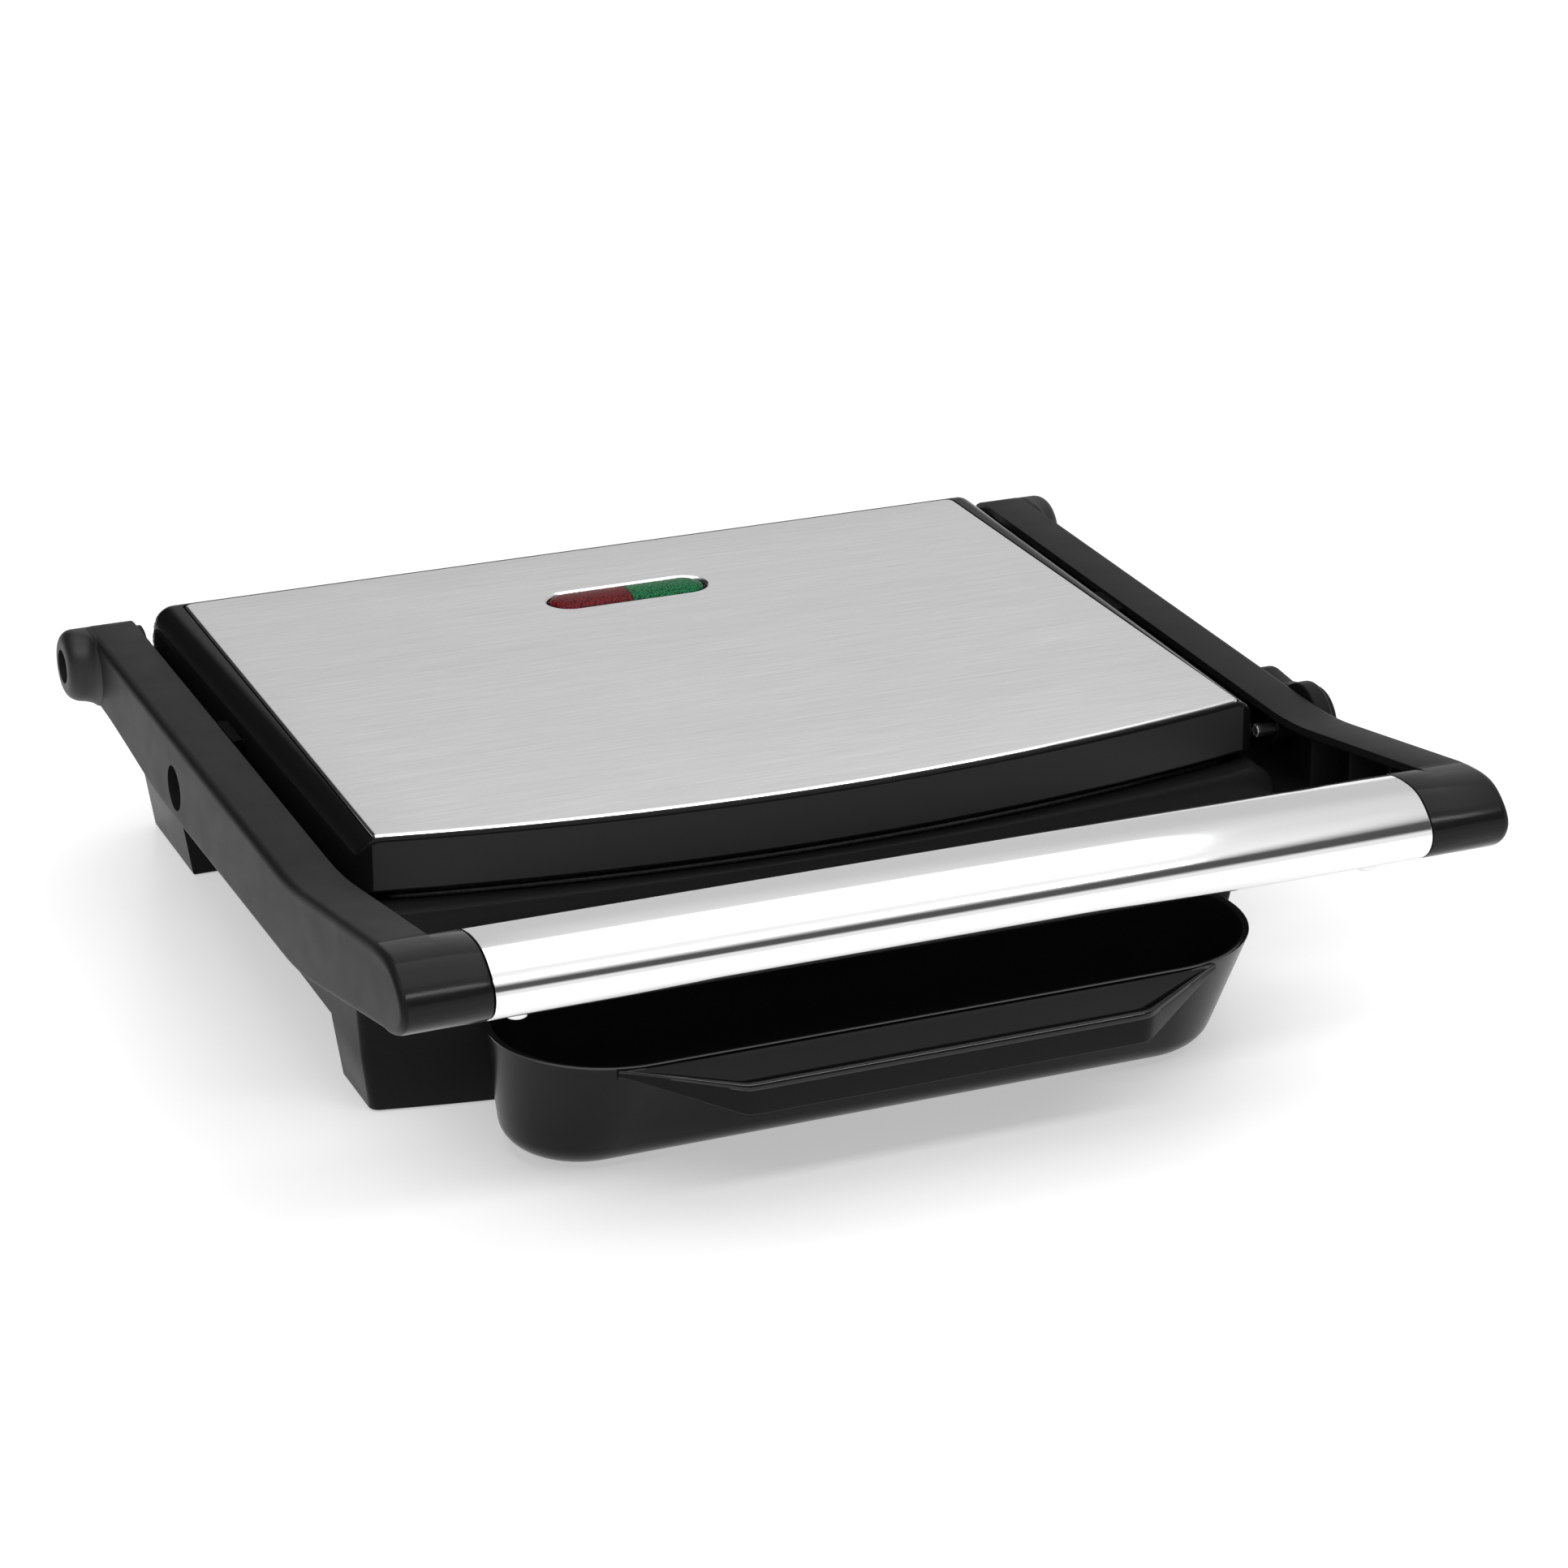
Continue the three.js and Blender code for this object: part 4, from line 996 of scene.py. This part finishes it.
def arm_mesh(with_lock):
    """A hollow arm, open to the inside, with its webs, its hinge hub and its grip end."""
    outline = upright_way(arm_side_view())
    bar = soft_bar(outline, ARM_INNER, ARM_OUTER, 2.8 * MM)
    cavity_view = inset(outline, 2.6 * MM)
    cavity = loft_x([(ARM_INNER - 1 * MM, cavity_view), (ARM_OUTER - 3.4 * MM, cavity_view)])
    pivot, hinge, lock = axis_point(PIVOT), axis_point(HINGE), axis_point(LOCK)
    holes = [
        rod(7.3 * MM, ARM_OUTER - 8 * MM, ARM_OUTER + OVER, pivot),
        rod(2.9 * MM, ARM_INNER - OVER, ARM_OUTER, pivot, sides=24),
        rod(5.7 * MM, BARREL_END - 5 * MM, BARREL_END + OVER, hinge),
    ]
    hub_start, hub_end = ARM_INNER + 0.2 * MM, ARM_OUTER - 2 * MM
    hubs = [rod(10 * MM, hub_start, hub_end, pivot), rod(9.8 * MM, hub_start, hub_end, hinge)]
    if with_lock:
        hubs.append(rod(4.6 * MM, ARM_INNER + 7 * MM, hub_end, lock, sides=24))
        holes.append(rod(2.8 * MM, ARM_INNER - OVER, ARM_OUTER + OVER, lock, sides=24))
    whole = add(cut(bar, cavity), cap_mesh(), barrel_mesh(), *hubs)
    return join(cut(whole, *holes), *arm_webs())


def cap_mesh():
    """The end of the grip: it carries the sleeve's section on into the arm."""
    section = upright_way(grip_section())
    plug = inset(section, 0.9 * MM)
    inner = SLEEVE_HIGH.x + 0.4 * MM
    step = ARM_INNER + 0.27 * MM
    return loft_x([
        (inner, inset(section, 0.5 * MM)),
        (inner + 0.15 * MM, inset(section, 0.15 * MM)),
        (inner + 0.5 * MM, section),
        (step, section),
        (step + 0.01 * MM, plug),
        (ARM_OUTER - 3 * MM, plug),
    ])


def barrel_mesh():
    """The hinge hub: flush with the arm on top, with a fillet to the arm's outer face in front."""
    radius, fillet, soft = 11.9 * MM, 7.5 * MM, 4.5 * MM
    rings = []
    start = ARM_OUTER - 5 * MM
    steps, crowding = 28, 1.6
    for i in range(steps + 1):
        x = start + (BARREL_END - start) * (1 - (1 - i / steps) ** crowding)
        out = min(fillet, max(0.0, x - ARM_OUTER))
        reach = fillet - math.sqrt(max(0.0, fillet ** 2 - (fillet - out) ** 2))
        r = radius - round_in(soft, BARREL_END - x)
        outline = arc((HINGE.y, HINGE.z), (r, r), -90, 90, 20)
        outline += arc((HINGE.y - reach, HINGE.z), (r, r), 90.01, 269.99, 20)
        rings.append([Vector((x, y, z)) for y, z in outline])
    return loft(rings)


def build_lock_shaft():
    """The lock's shaft: a pin through the arm with a domed nut on its inner end."""
    axis = axis_point(LOCK)
    pin = rod(1.9 * MM, ARM_INNER + 2.4 * MM, ARM_OUTER + 4 * MM, axis, sides=24)
    nut = rod(2.2 * MM, ARM_INNER + 0.6 * MM, ARM_INNER + 3.4 * MM, axis, sides=6, soft=0.8 * MM)
    piece("lock_pin", join(pin, nut), PLAIN_STEEL, "lock", "plain_steel", "lock_shaft", sharp=30)


def build_arms():
    right = arm_mesh(True)
    left = mirrored(arm_mesh(False))
    for side, made in (("right", right), ("left", left)):
        shown = piece(
            side + "_arm", made, MATTE_BLACK, "handle_frame", "matte_black", "arm_" + side
        )
        shown.data.materials.append(GRIP_BLACK)
        shown.data.materials.append(HUB_BLACK)
        for face in shown.data.polygons:
            at_grip = face.center.y < SLEEVE_HIGH.y - 6 * MM
            at_hinge = face.center.y > HINGE.y - 30 * MM
            if at_grip and abs(face.normal.x) < 0.4:
                face.material_index = 1
            elif at_hinge and abs(face.center.x) > ARM_OUTER + 0.3 * MM:
                face.material_index = 2


def build_sleeve():
    section = upright_way(grip_section())
    end = SLEEVE_HIGH.x
    edge = 0.3 * MM
    sections = []
    for d in (0, 0.1, 0.3):
        sections.append((-end + d * MM, shrunk(section, round_in(edge, d * MM))))
    sections += [(-x, outline) for x, outline in reversed(sections)]
    piece(
        "grip_sleeve", loft_x(sections), ALUMINIUM, "handle_frame", "satin_aluminium",
        "handle_sleeve", sharp=40,
    )


# ---------- lock lever ----------
def build_lock():
    start = ARM_OUTER + 0.4 * MM
    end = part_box("lock_lever")[1].x
    radius, tail, neck = 13.2 * MM, 9.4 * MM, 8.6 * MM
    tail_y, neck_y = LOCK.y + 26 * MM, LOCK.y + 15 * MM
    outline = arc((tail_y, LOCK.z), (tail, tail), -90, 90, 16)
    outline.append((neck_y, LOCK.z + neck))
    outline += arc((LOCK.y, LOCK.z), (radius, radius), 52, 308, 40)
    outline.append((neck_y, LOCK.z - neck))
    height, soft, rim = 6 * MM, 1.8 * MM, 0.4 * MM
    sections = [(start, shrunk(outline, rim)), (start + rim, outline)]
    for angle in quarter(6):
        x = start + height - soft * (1 - math.sin(angle))
        sections.append((x, shrunk(outline, soft * (1 - math.cos(angle)))))
    grip, edge, dimple = 11.6 * MM, 2 * MM, 0.3 * MM
    profile = [(dimple, start + edge), (grip, start + edge), (grip, end - edge)]
    profile += [
        (grip - round_in(edge, d * MM), end - d * MM) for d in (1.3, 0.7, 0.3, 0.08, 0)
    ]
    profile += [(4 * MM, end), (3 * MM, end - 0.5 * MM), (dimple, end - 0.6 * MM)]
    made = join(loft_x(sections), lathe(profile, axis_point(LOCK)))
    piece("lock_knob", made, MATTE_BLACK, "lock", "matte_black", "lock_lever", sharp=35)


# ---------- screws, hinges and other small pieces ----------
def cross_head(centre, radius, dome):
    """A domed screw head with a cross recess, its crown facing down."""
    core, rim = 0.05 * MM, dome * 0.3
    profile = [(core, 0), (radius, 0), (radius, rim)]
    profile += [
        (radius * math.cos(a), rim + (dome - rim) * math.sin(a)) for a in quarter(5)[1:-1]
    ]
    profile.append((core, dome))
    made = lathe([(r, -down) for r, down in profile], centre, "Z", 32)
    long_half, thin_half = radius * 0.62, radius * 0.14
    depth = (centre.z - dome * 1.5, centre.z - dome * 0.35)
    for a, b in ((long_half, thin_half), (thin_half, long_half)):
        across = (centre.x - a, centre.x + a)
        made = cut(made, box(across, (centre.y - b, centre.y + b), depth))
    return made


def screw(cad_node, head_radius, dome, shank_radius):
    """A screw that points up: its head at the foot of the CAD screw, its shank to the top."""
    low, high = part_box(cad_node)
    centre = Vector(((low.x + high.x) / 2, (low.y + high.y) / 2, low.z + dome))
    head = cross_head(centre, head_radius, dome)
    shank = rod(shank_radius, 0, high.z - centre.z, centre, "Z", 16)
    return join(head, shank)


def build_screws():
    for place in ("front_left", "front_right", "rear_left", "rear_right"):
        cad_node = "base_screw_" + place
        made = screw(cad_node, 4 * MM, 1.3 * MM, 1.6 * MM)
        piece("housing_screw_" + place, made, BRIGHT_STEEL, "base", "bright_steel", cad_node)
    for side in ("left", "right"):
        cad_node = "handle_screw_" + side
        made = screw(cad_node, 3.6 * MM, 2.3 * MM, 1.5 * MM)
        piece("grip_screw_" + side, made, BRIGHT_STEEL, "handle_frame", "bright_steel", cad_node)


KEPT = {
    "foot_pad_front_left": RUBBER,
    "foot_pad_front_right": RUBBER,
    "foot_pad_rear_left": RUBBER,
    "foot_pad_rear_right": RUBBER,
    "lower_element": ELEMENT_TUBE,
    "upper_element": ELEMENT_TUBE,
    "lower_reflector": PLAIN_STEEL,
    "upper_reflector": PLAIN_STEEL,
    "thermostat": PLAIN_STEEL,
    "lamp_holder": NATURAL,
    "cord_gland": MATTE_BLACK,
    "rear_stop_left": NATURAL,
    "rear_stop_right": NATURAL,
    "hinge_bracket_left": MATTE_BLACK,
    "hinge_bracket_right": MATTE_BLACK,
    "hinge_pin_left": BRIGHT_STEEL,
    "hinge_pin_right": BRIGHT_STEEL,
    # The pivot brackets take the shade black: painted shade in the gap between the lid and the arm.
    "pivot_bracket_left": GAP_SHADE_BLACK,
    "pivot_bracket_right": GAP_SHADE_BLACK,
    "pivot_screw_left": BRIGHT_STEEL,
    "pivot_screw_right": BRIGHT_STEEL,
}


def dress_kept_nodes():
    """Gives the CAD nodes that stay visible their materials."""
    for name, material in KEPT.items():
        kept = frame["nodes"][name]
        kept.data.materials.clear()
        kept.data.materials.append(material)


# ---------- studio ----------
def area_light(name, place, target, size, power):
    data = bpy.data.lights.new(name, "AREA")
    data.shape = "RECTANGLE"
    data.size, data.size_y = size
    data.energy = power
    light = bpy.data.objects.new(name, data)
    bpy.context.collection.objects.link(light)
    light.location = place
    light.rotation_euler = (Vector(target) - Vector(place)).to_track_quat("-Z", "Y").to_euler()


def level_ramp(tree, height, stops):
    """A grey that depends on how high a direction points; stops are (height, grey) pairs."""
    ramp = node(tree, "ShaderNodeValToRGB")
    elements = ramp.color_ramp.elements
    while len(elements) < len(stops):
        elements.new(0.5)
    for element, (position, value) in zip(elements, stops):
        element.position = position
        element.color = (value, value, value, 1)
    tree.links.new(height, ramp.inputs["Fac"])
    return ramp.outputs["Color"]


def blend(tree, along, low, high, first, second):
    """Goes from the first colour to the second as a coordinate goes from low to high."""
    share = node(tree, "ShaderNodeMapRange")
    share.inputs["From Min"].default_value = low
    share.inputs["From Max"].default_value = high
    tree.links.new(along, share.inputs["Value"])
    mix = node(tree, "ShaderNodeMix", data_type="RGBA")
    tree.links.new(share.outputs["Result"], mix.inputs["Factor"])
    ends = [socket for socket in mix.inputs if socket.type == "RGBA"]
    tree.links.new(first, ends[0])
    tree.links.new(second, ends[1])
    return [socket for socket in mix.outputs if socket.type == "RGBA"][0]


def build_world():
    """A white studio: darker low in front, where the camera would stand, and behind on the left."""
    world = bpy.data.worlds.new("studio")
    bpy.context.scene.world = world
    world.use_nodes = True
    tree = world.node_tree
    place = node(tree, "ShaderNodeTexCoord")
    split = node(tree, "ShaderNodeSeparateXYZ")
    tree.links.new(place.outputs["Generated"], split.inputs["Vector"])
    x, y, z = (split.outputs[name] for name in "XYZ")
    ahead_greys = [(0, 0.9), (0.22, 0.9), (0.34, 0.08), (0.58, 0.08), (0.72, 1), (1, 0.9)]
    behind_greys = [(0, 0.6), (0.31, 0.6), (0.43, 0.62), (0.58, 0.7), (0.9, 0.84), (1, 0.9)]
    behind_left_greys = [(0, 0.1), (0.2, 0.03), (0.6, 0.05), (0.85, 0.8), (1, 1)]
    ahead = level_ramp(tree, z, ahead_greys)
    behind = level_ramp(tree, z, behind_greys)
    behind_left = level_ramp(tree, z, behind_left_greys)
    rear = blend(tree, x, -0.12, 0.14, behind_left, behind)
    all_round = blend(tree, y, -0.35, 0.05, ahead, rear)
    tree.links.new(all_round, tree.nodes["Background"].inputs["Color"])


def build_studio():
    floor = bmesh.new()
    bmesh.ops.create_grid(floor, x_segments=1, y_segments=1, size=6)
    shown = object_of("floor", floor)
    shown.data.materials.append(white_floor())
    build_world()
    area_light("overhead", (0, 0.15, 2.2), (0, 0.15, 0), (3, 2.2), 18.5)
    area_light("front_top", (0, -1.3, 1.6), (0, -0.15, 0.1), (2.6, 0.24), 16)
    area_light("upper_left", (-1.5, -0.4, 1.6), (0, 0, 0.05), (0.7, 0.7), 7)


def build_camera():
    """The camera stands front left of the press, a little above it, with a long lens."""
    azimuth, elevation, roll = (math.radians(v) for v in (-22.355, 22.245, -0.211))
    place = Vector((-0.51208, AHEAD - 1.3159, 0.62821))
    data = bpy.data.cameras.new("camera")
    data.sensor_width = 36
    data.lens = 107.9
    camera = bpy.data.objects.new("camera", data)
    bpy.context.collection.objects.link(camera)
    right = Vector((math.cos(azimuth), math.sin(azimuth), 0))
    level = math.cos(elevation)
    back = Vector((math.sin(azimuth) * level, -math.cos(azimuth) * level, math.sin(elevation)))
    up = back.cross(right)
    turned_right = right * math.cos(roll) + up * math.sin(roll)
    turned_up = up * math.cos(roll) - right * math.sin(roll)
    turn = Matrix((turned_right, turned_up, back)).transposed().to_4x4()
    camera.matrix_world = Matrix.Translation(place) @ turn
    bpy.context.scene.camera = camera
    bpy.context.scene.view_settings.view_transform = "Standard"


build_camera()
build_studio()
dress_kept_nodes()
build_lid_shell()
build_top_plate()
build_lens(-1, "red_lens", RED_LENS, "red_lens", "lamp_lens_red")
build_lens(1, "green_lens", GREEN_LENS, "green_lens", "lamp_lens_green")
build_lower_plate()
build_upper_plate()
build_base()
build_tray()
build_arms()
build_sleeve()
build_lock()
build_lock_shaft()
build_screws()
